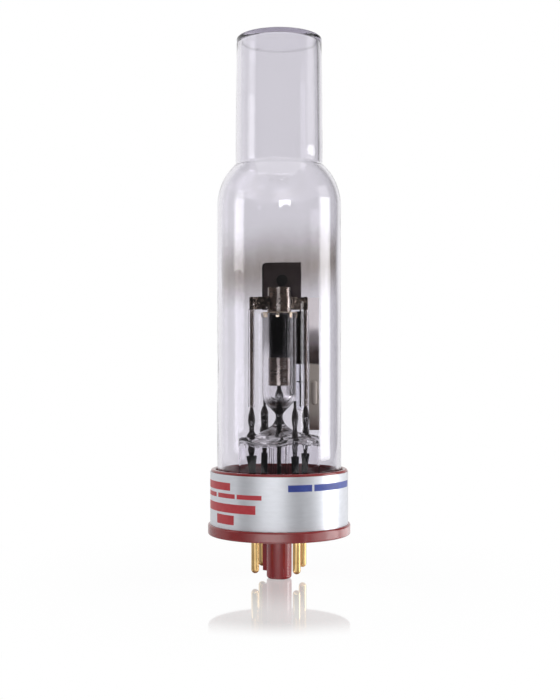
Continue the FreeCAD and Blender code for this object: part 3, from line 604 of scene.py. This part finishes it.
def bulb():
    """Body, shoulder, neck and fused window in one piece of glass."""
    end = math.degrees(math.acos((NECK_RADIUS - SHOULDER_AXIS) / SHOULDER_RADIUS))
    axis = (SHOULDER_AXIS, SHOULDER_START)
    window_low = LAMP_TOP - WINDOW
    joint = SHOULDER_START + SHOULDER_RADIUS * math.sin(math.radians(end))
    wall = [(BULB_RADIUS, BULB_FOOT), (BULB_RADIUS, SHOULDER_START)]
    wall += arc(axis, SHOULDER_RADIUS, 2.0, end - 4.0, 24)
    wall += rounded([wall[-1], (NECK_RADIUS, joint), (NECK_RADIUS - 0.02, joint + 5.0)], 2.2, 10, False)[1:]
    wall += [(NECK_TOP_RADIUS, window_low - 4.0)]
    wall = divided(wall, 1.2)
    bore = inset(wall, BULB_WALL)[::-1]
    top = [(NECK_TOP_RADIUS, window_low - 0.6)]
    top += arc((NECK_TOP_RADIUS - 0.5, LAMP_TOP - 0.5), 0.5, 0.0, 90.0, 8)
    top += [(8.0, LAMP_TOP), (4.0, LAMP_TOP), (0.0, LAMP_TOP)]
    edge = bore[0][0]
    under = [(0.0, window_low), (4.0, window_low), (8.0, window_low)]
    under += rounded([(8.0, window_low), (edge, window_low), bore[0]], 0.4, 6, False)[1:-1]
    shape = lathe(wall + divided(top, 1.5) + divided(under, 1.5) + bore, 160)
    piece("bulb", shape, "bulb", ("glass_envelope", "window_disc"), warp=blown)


# Stem and the glass tube round the cathode

def wafer_wave(x, y, z):
    """Pull the soft glass of the wafer into waves between the leads."""
    radius = math.hypot(x, y)
    if radius < 3.0 or z < 20.0 or z > 32.0:
        return x, y, z
    angle = math.degrees(math.atan2(y, x))
    lift = 0.45 * math.cos(math.radians(4 * (angle - LEAD_ANGLE)))
    lift += 0.3 * wobble(x, y, 0.0, 0.22, 7.0) + 0.42 * wobble(0.7 * x, y, 0.25 * z, 0.42, 3.0)
    share = min(1.0, (radius - 3.0) / 6.0) * min(1.0, (z - 20.0) / 6.0)
    return x, y, z + lift * share


def stem():
    """Flare, re-entrant tube, wafer, column and shield tube fused as one. The tube's
    skirt is fainter glass."""
    outside = [(11.75, 21.0), (11.6, 8.6), (12.0, 6.4), (17.0, 5.9), (17.0, 7.0), (13.4, 8.0), (12.2, 10.0)]
    outside = rounded(outside, 1.2, 5, False)
    outside += rounded([(12.2, 10.0), (12.2, 28.1), (11.9, 28.5), (7.0, 29.5), (4.4, 30.6),
                        (1.9, 32.3), (1.02, 34.2), (1.15, 35.7), (3.0, 37.5), (4.6, 39.2),
                        (5.05, 41.5), (5.05, 65.3), (4.9, 65.45), (3.45, 65.45), (3.3, 65.3)], 1.5, 6, False)
    inside = rounded([(3.3, 65.3), (3.3, 40.6), (2.2, 39.2), (0.9, 38.7), (0.0, 38.7)], 1.0, 5, False)
    under = rounded([(0.0, 27.1), (3.5, 27.2), (7.0, 27.6), (11.4, 27.7), (11.75, 21.0)], 1.2, 5, False)
    shape = lathe(divided(under + outside[1:] + inside[1:], 1.2), 144, closed=False)
    item = piece("stem", shape, "stem", ("stem_glass", "cathode_shield_tube"), warp=wafer_wave)
    item.data.materials.append(FINISHES["skirt"])
    for polygon in item.data.polygons:
        if polygon.center.z < 26.4 * MM and polygon.center.xy.length > 11.0 * MM:
            polygon.material_index = 1


def exhaust():
    """Pumping tube under the wafer, drawn to a sealed tip in the base."""
    outer = [(0.0, 5.9), (0.5, 6.0), (0.75, 6.7), (1.6, 9.0), (3.2, 11.4), (3.2, 27.1), (3.1, 27.2)]
    inner = [(2.0, 27.2), (1.9, 27.1), (1.9, 12.0), (1.0, 9.6), (0.0, 8.4)]
    profile = rounded(outer, 0.7, 4, False) + rounded(inner, 0.7, 4, False)
    piece("exhaust", lathe(divided(profile, 1.5), 64, (0.0, 4.6), closed=False), "tube", ("exhaust_tube",))


# Leads, beads and sleeves

def lead_end(index):
    """Return the lead's knee and the end in its pin."""
    knee = around(LEAD_CIRCLE, LEAD_ANGLE + 90 * index, 23.0)
    end = around(PIN_CIRCLE, PIN_ANGLE + 90 * index, 4.0)
    return knee, end


def spindle(profile, centre, seed, rough=0.06, steps=40):
    """Return a lathed shape with the uneven skin of hand-melted glass."""
    shape = lathe(divided(profile, 0.35), steps, centre, closed=False)

    def uneven(x, y, z):
        dx, dy = x - centre[0], y - centre[1]
        swell = 1 + rough * wobble(dx, dy, z, 0.7, seed) + 0.5 * rough * wobble(dx, dy, z, 1.9, seed)
        return centre[0] + dx * swell, centre[1] + dy * swell, z
    return [uneven(*point) for point in shape[0]], shape[1]


BEAD_SHAPES = (
    [(0.0, 23.2), (0.55, 23.2), (0.6, 24.0), (0.95, 26.0), (1.15, 28.0), (1.15, 29.8), (0.7, 31.2),
     (1.0, 33.2), (1.18, 34.6), (0.95, 36.0), (0.6, 37.3), (0.45, BEAD_TOP), (0.0, BEAD_TOP)],
    [(0.0, 23.2), (0.6, 23.2), (0.9, 25.0), (1.0, 28.0), (1.5, 30.2), (1.1, 31.5), (1.15, 34.5),
     (1.25, 35.6), (0.95, 36.6), (0.5, BEAD_TOP), (0.0, BEAD_TOP)],
    [(0.0, 23.2), (0.6, 23.2), (0.75, 24.0), (1.05, 25.2), (0.75, 27.0), (1.5, 28.9), (1.4, 29.5),
     (0.7, 30.6), (0.75, 32.0), (1.1, 33.6), (0.95, 35.2), (0.6, 36.8), (0.45, BEAD_TOP), (0.0, BEAD_TOP)],
    [(0.0, 23.2), (0.6, 23.2), (0.8, 26.0), (0.95, 28.6), (0.85, 30.2), (0.6, 31.5), (0.85, 33.4),
     (1.0, 34.8), (0.85, 36.0), (0.55, 37.0), (0.45, BEAD_TOP), (0.0, BEAD_TOP)],
)


def leads():
    """Wires through the wafer with their glass beads and black sleeves."""
    lips = (1.3, 1.0, 1.42, 1.1)
    for index, profile in enumerate(BEAD_SHAPES):
        number = index + 1
        knee, end = lead_end(index)
        top = BEAD_TOP if index in (0, 2) else 39.6
        if index == 3:
            end = knee + (end - knee) * ((knee.z - 10.0) / (knee.z - end.z))
        route = curved([Vector((knee.x, knee.y, top)), knee, end], 2.0)
        piece(f"lead_{number}", sweep(route, 0.4, 14), "wire", (f"lead_wire_{number}",))
        shape = spindle(rounded(profile, 0.5, 4, False), (knee.x, knee.y), 3.0 * number)
        piece(f"bead_{number}", shape, "bead", (f"seal_bead_{number}",))
        low = 10.6 if index == 3 else 6.9
        start = knee + (end - knee) * ((knee.z - low) / (knee.z - end.z))
        finish = knee + Vector((0.0, 0.0, 0.5))
        length = (finish - start).length
        lip = lips[index]
        tube = [(0.42, 0.0), (0.85, 0.0), (0.9, length - 6.5), (0.98, length - 3.5), (lip, length - 0.7),
                (lip + 0.02, length - 0.05), (lip - 0.25, length), (0.75, length - 1.0), (0.42, length - 2.4)]
        shape = lathe(divided(rounded(tube, 0.2, 3), 0.5), 32)
        aim = Vector((0, 0, 1)).rotation_difference(finish - start).to_matrix()

        def stand(x, y, z, aim=aim, start=start, seed=number):
            swell = 1 + 0.05 * wobble(x, y, z, 0.8, seed)
            return tuple(start + aim @ Vector((x * swell, y * swell, z)))
        piece(f"sleeve_{number}", shape, "sleeve", (f"black_sleeve_{number}",), warp=stand)


def centre_lead():
    """The cathode's wire, through the column and down to its pin, with a bead."""
    pin = around(PIN_CIRCLE, PIN_ANGLE + 270)
    route = curved([(0, 0, 44.6), (0, 0, 14.0), (pin.x, pin.y, 7.0), (pin.x, pin.y, 5.0)], 2.0)
    piece("centre_lead", sweep(route, 0.62, 18), "wire", ("cathode_lead",))
    profile = [(0.0, 39.2), (0.7, 39.2), (1.1, 39.8), (1.35, 40.7), (1.2, 41.6), (0.72, 42.6), (0.66, 43.2),
               (0.0, 43.2)]
    shape = spindle(rounded(profile, 0.4, 4, False), (0.0, 0.0), 21.0, 0.04)
    piece("centre_bead", shape, "bead", ("cathode_lead_bead",))


# Cathode and anode

def cathode():
    """Black hollow cathode in its sleeve."""
    body = [(0.0, 44.8), (2.9, 44.8), (2.9, 52.3), (3.05, 52.35), (3.05, 64.85), (2.95, 64.97), (1.6, 64.97),
            (1.5, 64.85), (1.5, 53.2), (0.0, 53.0)]
    shape = lathe(divided(rounded(body, 0.06, 2, False), 2.0), 96, closed=False)
    piece("cathode", shape, "cathode", ("cathode_cup",))
    sleeve = [(0.68, 43.95), (3.0, 43.95), (3.25, 44.2), (3.25, 52.1), (3.2, 52.28), (3.0, 52.28), (2.95, 52.1),
              (2.95, 44.75), (0.68, 44.75)]
    piece("cathode_holder", lathe(divided(rounded(sleeve, 0.12, 3), 1.5), 96), "nickel", ("cathode_sleeve",))


def ring():
    """Fingered ring: a flat washer with strips bent down round the glass tube."""
    washer = lathe(rounded([(2.6, 65.52), (5.2, 65.52), (5.3, 65.6), (5.2, 65.78), (2.6, 65.78)], 0.06, 2), 96)
    shapes = [washer]
    for index in range(8):
        angle = 220.0 + 45.0 * index
        width = (1.65, 0.95, 0.9, 1.3, 1.2, 1.4, 1.1, 1.3)[index]
        length = (1.45, 1.35, 1.5, 1.4, 1.3, 1.45, 1.4, 1.35)[index]
        radial = around(1.0, angle)
        across = around(1.0, angle + 90.0)

        def finger(column, row, depth):
            drop = row * (length + 0.6)
            if drop < 0.6:
                reach, height = 4.65 + drop, 65.66
            else:
                reach, height = 5.2 + 0.1 * math.sin((drop - 0.6) * 2.2), 65.66 - (drop - 0.6)
            side = (column - 0.5) * width * (1.0 - 0.25 * max(0.0, row - 0.7))
            return radial * (reach + depth) + across * side + Vector((0, 0, height + (depth if drop < 0.6 else 0)))
        shapes.append(slab(4, 12, finger, 0.1, -0.1))
    piece("ring", joined(*shapes), "bright", ("finger_ring",))


def anode():
    """Open metal tube over the cathode with a slightly rolled lip."""
    profile = [(3.0, 65.85), (3.42, 65.85), (3.45, 66.0), (3.45, 72.7), (3.5, 73.0), (3.42, 73.17), (3.1, 73.17),
               (2.95, 73.0), (2.95, 66.0)]
    shape = lathe(divided(rounded(profile, 0.1, 3), 1.2), 96)

    def seamed(x, y, z):
        dip = 0.12 * math.exp(-(math.degrees(math.atan2(x, y)) / 5.0) ** 2)
        scale = 1 - dip / math.hypot(x, y) + 0.006 * wobble(x, y, z, 0.3, 2.0)
        return x * scale, y * scale, z
    piece("anode", shape, "nickel", ("anode_tube",), warp=seamed)


def hung(point):
    """Let the strap drop a little towards the left rod."""
    share = max(0.0, -point.x - 3.0) / 5.0
    return point.x, point.y, point.z - 0.5 * min(share, 1.0)


def strap():
    """Thin strap pressed round the rods and the anode, crumpled by its welds."""
    along = around(1.0, LEAD_ANGLE)
    across = around(1.0, LEAD_ANGLE + 90.0)
    shapes = []
    for sign in (-1.0, 1.0):
        for layer in (-1.0, 1.0):
            def crumple(column, row, depth):
                far = 3.55 + column * 5.5
                height = STRAP_LOW + row * (STRAP_TOP - STRAP_LOW)
                height += 0.12 * wobble(far, layer * 3, 0.0, 0.8, 5.0 * sign) * (1 if 0.02 < row < 0.98 else 0.4)
                bulge = 0.4 * math.exp(-((far - LEAD_CIRCLE) / 0.8) ** 2)
                bulge += 0.45 * math.exp(-((far - 3.55) / 0.7) ** 2)
                fold = 0.3 * wobble(far, height, layer, 1.1, 9.0 * sign)
                offset = layer * (0.14 + bulge) + fold * (1 - 1.6 * bulge) + layer * depth
                return hung(along * (sign * far) + across * offset + Vector((0, 0, height)))
            shapes.append(slab(28, 20, crumple, 0.11, -0.02))
    for sign in (-1.0, 1.0):
        centre = along * (sign * LEAD_CIRCLE)
        loop = lathe(divided([(0.5, STRAP_LOW), (0.62, STRAP_LOW), (0.66, STRAP_LOW + 0.3), (0.66, STRAP_TOP - 0.3),
                              (0.62, STRAP_TOP), (0.5, STRAP_TOP)], 0.5), 32, centre[:2])
        shapes.append(([hung(Vector(point)) for point in loop[0]], loop[1]))
    collar = lathe(divided(rounded([(3.47, 66.02), (3.64, 66.02), (3.68, 66.2), (3.68, 70.3), (3.64, 70.48),
                                    (3.47, 70.48)], 0.06, 2), 0.6), 96)
    piece("strap", joined(*shapes), "strap", ("support_strap",), sharp=50.0)
    piece("collar", collar, "nickel")


def spot(name, place, outward, size=0.26, finish="weld"):
    """A small weld: a low dome with a rim."""
    profile = [(0.0, 0.12), (0.5 * size, 0.1), (0.8 * size, 0.05), (size, 0.0), (1.1 * size, -0.08), (0.0, -0.1)]
    shape = lathe(profile[::-1], 16, closed=False)
    aim = Vector((0, 0, 1)).rotation_difference(outward).to_matrix()
    points = [tuple(Vector(place) + aim @ Vector(point)) for point in shape[0]]
    piece(name, (points, shape[1]), finish)


def welds():
    """Weld spots on the collar and the strap."""
    for number, (x, z) in enumerate(((0.1, 69.6), (0.15, 68.4), (-0.2, 66.7), (2.8, 66.6), (-3.3, 66.5)), 1):
        y = -math.sqrt(max(3.68 ** 2 - x ** 2, 0.0))
        finish = "strap" if number < 3 else "weld"
        spot(f"weld_{number}", (x, y, z), Vector((x, y, 0.0)), finish=finish)
    across = around(1.0, LEAD_ANGLE - 90.0)
    for number, far in ((6, -9.0), (7, -4.4)):
        place = around(far, LEAD_ANGLE, 67.9 if number == 6 else 67.2) + across * 0.86
        spot(f"weld_{number}", place if number == 6 else place - across * 0.35, across)


def on_plate(x, depth, z):
    """Return the place of a point given across, behind and up on the turned plate."""
    return PLATE_PLACE + PLATE_TURN @ Vector((x, depth, z))


def plate_rise(x):
    """Return the plate's top edge, which is rounded off at the left."""
    away = -PLATE_HALF + PLATE_CORNER - x
    if away <= 0:
        return PLATE_TOP
    return PLATE_TOP - PLATE_CORNER + math.sqrt(max(PLATE_CORNER ** 2 - away ** 2, 0.0))


def front_leaf():
    """The plate's front leaf, laid out in rays from its hole to the edge."""
    hole = Vector((0.15, 75.7))
    left = PLATE_HALF - PLATE_FOLD
    rings, count = 10, 96
    corners = ((PLATE_HALF, PLATE_TOP), (-left, plate_rise(-left)), (-left, PLATE_LOW), (PLATE_HALF, PLATE_LOW))
    angles = [TURN * index / count for index in range(count)]
    angles = sorted(angles + [math.atan2(z - hole.y, x - hole.x) % TURN for x, z in corners])
    points, faces = [], []
    for side in (-1.0, 1.0):
        for ring_index in range(rings + 1):
            for angle in angles:
                way = Vector((math.cos(angle), math.sin(angle)))
                across = (PLATE_HALF - hole.x if way.x > 0 else left + hole.x) / max(abs(way.x), TINY)
                upright = (PLATE_TOP - hole.y if way.y > 0 else hole.y - PLATE_LOW) / max(abs(way.y), TINY)
                edge = hole + way * min(across, upright)
                edge.y = min(edge.y, plate_rise(edge.x))
                at = (hole + way * 1.8).lerp(edge, ring_index / rings)
                lip = 0.05 if ring_index in (0, rings) and edge.x > -left + TINY else 0.0
                depth = 0.2 + side * (0.2 - lip) + 0.04 * wobble(at.x, 0.0, at.y, 0.25, 3.0) * min(1.0, at.x + left)
                points.append(tuple(on_plate(at.x, depth, at.y)))
    number = len(angles)
    layer = number * (rings + 1)
    for index in range(number):
        after = (index + 1) % number
        for ring_index in range(rings):
            low, high = ring_index * number, (ring_index + 1) * number
            faces.append((low + index, high + index, high + after, low + after))
            faces.append((layer + low + index, layer + low + after, layer + high + after, layer + high + index))
        outer = rings * number
        faces.append((index, after, layer + after, layer + index))
        faces.append((outer + index, layer + outer + index, layer + outer + after, outer + after))
    return points, faces


def back_leaf():
    """The fold at the plate's left edge and the leaf behind."""
    left = PLATE_HALF - PLATE_FOLD
    middle = PLATE_FOLD - 0.2

    def sheet(column, row, side):
        bend = 0.22
        if column < bend:
            angle = math.pi * column / bend
            x = -left - (middle - side) * math.sin(angle)
            depth = PLATE_FOLD - (middle - side) * math.cos(angle)
        else:
            x = -left + (column - bend) / (1 - bend) * (PLATE_HALF + left)
            depth = PLATE_FOLD + middle - side
        return on_plate(x, depth, PLATE_LOW + row * (plate_rise(x) - PLATE_LOW))
    return slab(46, 14, sheet, 0.18, -0.2)


def plate():
    """Dark upright plate: a sheet folded back at its left edge, holed in front. The leaf behind is painted near-black
    as shade.
    """
    piece("plate", front_leaf(), "plate", ("anode_plate",), sharp=40.0)
    piece("plate_fold", back_leaf(), "shaded_leaf", sharp=40.0)


def rods():
    """Support rods in thin glass sleeves."""
    for index, side in ((0, "right"), (2, "left")):
        centre = around(LEAD_CIRCLE, LEAD_ANGLE + 90 * index)
        top = 70.72 + (0.0 if side == "right" else -0.55)
        profile = [(0.0, 37.62), (0.48, 37.62), (0.48, top - 0.18), (0.4, top), (0.0, top)]
        shape = lathe(divided(rounded(profile, 0.08, 2, False), 1.5), 28, centre[:2], closed=False)
        piece(f"rod_{side}", shape, "rod", (f"support_rod_{side}",))
        profile = [(0.58, 37.65), (0.98, 37.65), (0.98, 66.55), (0.58, 66.55)]
        shape = lathe(divided(rounded(profile, 0.15, 3), 1.0), 40, centre[:2])

        def bowed(x, y, z, seed=float(index)):
            bow = 0.02 * wobble(0.0, 0.0, z, 0.1, seed)
            return x + bow, y + bow, z
        piece(f"rod_glass_{side}", shape, "tube", (f"glass_sleeve_{side}",), warp=bowed)


def getter():
    """Sheet strip hung beside the right rod, with a half-round pellet pressed on it."""
    left, right, front = 9.15, 12.35, 5.386

    def sheet(column, row, depth):
        z = 30.4 + row * 36.4
        curl = 0.12 * math.sin(column * math.pi) + 0.04 * wobble(column * 3, 0.0, z, 0.2, 6.0)
        return Vector((left + 0.02 + column * (right - left - 0.04), front + 0.02 + depth - 0.5 * curl + 0.06, z))
    strip = slab(10, 60, sheet, 0.0, 0.18)
    tab_left = 7.65

    def tab(column, row, depth):
        z = 66.82 + row * 3.66
        return Vector((tab_left + column * (right - tab_left - 0.02), front + 0.06 + depth, z))
    top = slab(12, 8, tab, 0.0, 0.18)
    piece("getter_sheet", joined(strip, top), "getter", ("getter_strip",))
    pellet = lathe(divided(rounded([(0.0, 37.92), (0.88, 38.4), (0.88, 45.0), (0.0, 45.48)], 0.5, 5, False), 0.6),
                   40, ((left + right) / 2, front), closed=False)

    def halved(x, y, z):
        return x, min(y, front + 0.02), z
    piece("pellet", pellet, "getter", ("getter_pellet",), warp=halved)


def guard():
    """Small closed glass tube behind the right rod, hung on a wire from the plate."""
    centre = GUARD_CENTRE
    outer = [(0.0, 36.02)] + arc((0.0, 37.64), 1.62, -80.0, 0.0, 10) + [(1.62, 66.2), (1.55, 66.38), (1.3, 66.38),
                                                                       (1.24, 66.2)]
    inner = arc((0.0, 37.64), 1.24, 0.0, -80.0, 10) + [(0.0, 36.42)]
    # Its glass is darkened above 50 mm by a painted reflection.
    piece("guard_glass", lathe(divided(outer + inner, 1.0), 56, centre, closed=False), "horizon_shaded", ("guard_tube",))
    route = [on_plate(5.5, 1.22, 68.0), Vector((centre[0], centre[1], 68.0)),
             Vector((centre[0], centre[1], 37.4))]
    wire = sweep(curved(route, 1.0), 0.26, 14)
    disc = lathe(rounded([(0.0, 44.82), (1.2, 44.82), (1.2, 45.23), (0.0, 45.23)], 0.1, 2, False), 32, centre,
                 closed=False)
    piece("guard_wire_run", joined(wire, disc), "wire", ("guard_wire",))
    profile = [(0.3, 50.42), (0.9, 50.42), (1.08, 50.6), (1.08, 65.5), (0.95, 65.78), (0.3, 65.78)]
    core = lathe(divided(profile, 0.8), 40, centre)

    def baked(x, y, z):
        swell = 1 + 0.02 * wobble(x, y, z, 0.5, 8.0)
        return centre[0] + (x - centre[0]) * swell, centre[1] + (y - centre[1]) * swell, z
    piece("guard_core_rod", core, "core", ("guard_core",), warp=baked)


# Base

def cement():
    """Lumpy ring of cement between the cup and the bulb, and its fillet inside the rim."""
    profile = [(18.55, 10.2), (18.85, 10.2), (18.88, 17.6), (18.8, 18.7), (18.7, 18.9), (18.58, 18.8), (18.52, 18.0)]
    shape = lathe(divided(profile, 0.5), 240)

    def lumpy(x, y, z):
        if z < 17.0:
            return x, y, z
        angle = math.atan2(y, x)
        drop = 0.45 + 0.35 * math.cos(19 * angle) + 0.9 * wobble(x, y, 0.0, 0.28, 11.0)
        return x, y, z - 0.75 * min(max(0.0, drop), 1.4) * (z - 17.0) / 2.0
    piece("cement_ring", shape, "cement", ("basing_cement",), warp=lumpy)


def band():
    """Foil band round the cup with a narrow seam at the back, and plain bars of print."""
    low, high, inner, outer = 3.12, 18.58, 20.27, 20.53
    gap = 1.2

    def wall(column, row, radius):
        return around(radius, 90.0 + gap / 2 + column * (360.0 - gap), low + row * (high - low))
    piece("band", slab(220, 10, wall, outer, inner), "foil", ("label_band",))
    # Each bar: finish, start and end angle from the front (right positive), low and high
    bars = [
        ("print_red", -86, -43, 14.2, 16.4), ("print_red", -84, -62, 12.0, 13.3), ("print_red", -59, -38, 12.0, 13.3),
        ("print_red", -36, -14, 12.0, 13.3), ("print_red", -86, -19, 7.9, 10.4), ("print_red", -61, -39, 4.5, 7.2),
        ("print_blue", 7, 27, 14.4, 16.3), ("print_blue", 29, 78, 14.4, 16.3),
    ]
    for number, (finish, start, end, bar_low, bar_high) in enumerate(bars, 1):
        def patch(column, row, radius):
            return around(radius, -90.0 + start + column * (end - start), bar_low + row * (bar_high - bar_low))
        piece(f"print_bar_{number}", slab(max(4, int(end - start)), 1, patch, outer + 0.012, outer - 0.05), finish)


def pins():
    """Gold pins with rounded ends and a cup for the wire."""
    for index in range(4):
        centre = around(PIN_CIRCLE, PIN_ANGLE + 90 * index)
        outer = [(0.0, -11.08)] + arc((0.0, -9.92), 1.16, -84.0, 0.0, 10)
        outer += [(1.16, -0.05), (1.38, 0.0), (1.38, 2.4), (1.85, 2.42), (1.85, 3.2), (1.3, 3.2), (1.3, 6.4),
                  (0.75, 6.4), (0.75, 3.6), (0.0, 3.6)]
        shape = lathe(divided(outer, 1.2), 48, centre[:2], closed=False)
        piece(f"pin_{index + 1}", shape, "gold", (f"contact_pin_{index + 1}",))


def dress_cad():
    """Give the base, which keeps its solid's mesh, its finish."""
    for slot in frame["nodes"]["base_shell"].material_slots:
        slot.material = FINISHES["red"]


# Studio

WHITE = (1.0, 1.0, 1.0, 1.0)


def floor():
    """White floor to the eye, with the lamp's faint shadow. A patch in front of the
    lamp is polished, and pale cards lie round it that only reflections see."""
    finish = Finish("floor_white")
    away = finish.reach()
    rays = finish.node("LightPath").outputs
    seen = finish.math("MAXIMUM", rays["Is Camera Ray"], rays["Is Transmission Ray"])
    share = finish.span(away, 20.0, 110.0, 0.965, 1.0, smooth=True)
    lit = finish.mixed(finish.math("MULTIPLY", seen, share), finish.shader("BsdfDiffuse", Color=(0.9, 0.9, 0.9, 1.0)),
                       finish.shader("Emission", Color=WHITE))
    near = finish.span(away, 14.0, 50.0, 0.52, 0.34, smooth=True)
    patch = finish.span(finish.reach((0.0, -30.0)), 27.0, 46.0, 1.0, 0.0, smooth=True)
    unseen = finish.math("MULTIPLY", finish.math("SUBTRACT", 1.0, seen), 0.5)
    polish = finish.math("ADD", finish.math("MULTIPLY", near, patch, seen), unseen)
    whole = finish.mixed(polish, lit, finish.shader("BsdfGlossy", Color=WHITE, Roughness=0.04))
    # Each card: bearing in degrees from the front (right positive), level
    cards = [(-75, 0.0), (-56, 0.1), (-39, 0.9), (-27, 2.9), (-18, 3.8), (-8, 3.9), (1, 3.6), (11, 1.7),
             (20, 0.5), (30, 0.2), (42, 0.3), (54, 1.9), (68, 2.9), (84, 2.0), (100, 2.0), (116, 2.8),
             (129, 2.0), (145, 0.5), (170, 0.0)]
    stops = [((angle + 180) / 360, (level, level, level, 1.0)) for angle, level in cards]
    start = finish.span(away, 75.0, 100.0, 0.22, 1.0)
    end = finish.span(away, 290.0, 325.0, 1.0, 0.0)
    card = finish.shader("Emission", Color=finish.ramp(finish.bearing(), stops),
                         Strength=finish.math("MULTIPLY", start, end, rays["Is Glossy Ray"]))
    both = finish.node("AddShader")
    finish.feed(both.inputs[0], whole)
    finish.feed(both.inputs[1], card)
    finish.feed(finish.out.inputs["Surface"], both.outputs["Shader"])
    mesh = bpy.data.meshes.new("floor")
    front, back, half = -0.36, 1.6, 0.36
    mesh.from_pydata([(-half, front, 0.0), (half, front, 0.0), (half, back, 0.0), (-half, back, 0.0)], [],
                     [(0, 1, 2, 3)])
    mesh.materials.append(finish.material)
    item = bpy.data.objects.new("floor", mesh)
    item.location = (0.0, 0.0, FLOOR_LEVEL * MM)
    bpy.context.scene.collection.objects.link(item)


def world():
    """White backdrop for the eye and for what is seen straight through the bulb; for
    reflections a dim room, white at the back and at the left rear; even light for the rest."""
    room = bpy.data.worlds.new("studio")
    bpy.context.scene.world = room
    room.use_nodes = True
    sky = Nodes(room.node_tree, "OutputWorld")
    parts = sky.node("SeparateXYZ")
    sky.feed(parts.inputs["Vector"], sky.node("TexCoord").outputs["Generated"])
    x, y, z = parts.outputs
    rays = sky.node("LightPath").outputs

    def wall(across, along, low, high):
        towards = sky.math("ADD", sky.math("MULTIPLY", y, along), sky.math("MULTIPLY", x, across))
        return sky.span(towards, low, high, smooth=True)
    ceiling = sky.span(z, 0.5, 0.95, 0.0, 0.3, smooth=True)
    rise = sky.span(z, 0.0, 0.3, 0.05, 0.25, smooth=True)
    below = sky.math("MULTIPLY", sky.math("LESS_THAN", z, 0.0), 0.06)
    shown = sky.math("MAXIMUM", wall(-0.2, 0.98, 0.42, 0.8), wall(-0.9, 0.45, 0.78, 0.95),
                     sky.math("ADD", rise, below, ceiling))
    straight = sky.math("MULTIPLY", sky.math("LESS_THAN", rays["Glossy Depth"], 0.5),
                        sky.math("LESS_THAN", rays["Ray Depth"], 4.5), rays["Is Transmission Ray"])
    seen = sky.math("MAXIMUM", rays["Is Camera Ray"], straight)
    shiny = sky.math("MAXIMUM", rays["Is Glossy Ray"], rays["Is Transmission Ray"])
    level = sky.math("ADD", sky.math("MULTIPLY", shiny, shown),
                     sky.math("MULTIPLY", sky.math("SUBTRACT", 1.0, shiny), 0.42))
    level = sky.math("ADD", seen, sky.math("MULTIPLY", sky.math("SUBTRACT", 1.0, seen), level))
    sky.feed(sky.out.inputs["Surface"], sky.shader("Background", Color=level))


def softbox(name, azimuth, distance, height, aim, size, brightness):
    """A rectangular lamp, aimed at a height on the axis. Azimuth 0 is the camera's side, 90 the right."""
    data = bpy.data.lights.new(name, "AREA")
    data.shape = "RECTANGLE"
    data.size, data.size_y = size
    data.energy = brightness * math.pi * data.size * data.size_y
    item = bpy.data.objects.new(name, data)
    angle = math.radians(azimuth)
    item.location = (distance * math.sin(angle), -distance * math.cos(angle), height)
    item.rotation_euler = (Vector((0.0, 0.0, aim)) - item.location).to_track_quat("-Z", "Y").to_euler()
    item.visible_camera = False
    bpy.context.scene.collection.objects.link(item)


def studio():
    """Floor, room, lamps and camera."""
    floor()
    world()
    softbox("strip_right", 93.5, 0.42, 0.09, 0.09, (0.20, 0.20), 5.0)
    softbox("fade_right", 93.5, 0.42, 0.255, 0.255, (0.20, 0.13), 1.2)
    softbox("strip_front", 42.25, 0.50, 0.0465, 0.0465, (0.03, 0.093), 3.5)
    softbox("box_left", -80.0, 0.60, 0.2, 0.2, (0.23, 0.15), 2.4)
    softbox("fade_left", -80.0, 0.60, 0.315, 0.315, (0.23, 0.08), 1.2)
    softbox("box_top", -10.0, 0.04, 0.66, 0.05, (0.60, 0.55), 0.8)
    softbox("catch_light", 10.5, 0.70, 0.20, 0.09, (0.26, 0.010), 9.0)
    softbox("catch_high", 9.0, 0.35, 0.48, 0.10, (0.05, 0.008), 12.0)
    data = bpy.data.cameras.new("camera")
    data.lens = 58.77
    data.sensor_width = 36.0
    data.shift_y = 0.02
    camera = bpy.data.objects.new("camera", data)
    camera.location = (0.24 * MM, -CAMERA_DISTANCE * MM, CAMERA_HEIGHT * MM)
    camera.rotation_euler = (math.radians(90.0), 0.0, 0.0)
    bpy.context.scene.collection.objects.link(camera)
    bpy.context.scene.camera = camera
    bpy.context.scene.view_settings.view_transform = "Standard"
    cycles = bpy.context.scene.cycles
    cycles.max_bounces = 24
    cycles.transmission_bounces = 24
    cycles.glossy_bounces = 8


bulb()
stem()
exhaust()
leads()
centre_lead()
cathode()
ring()
anode()
strap()
welds()
plate()
rods()
getter()
guard()
cement()
band()
pins()
dress_cad()
studio()
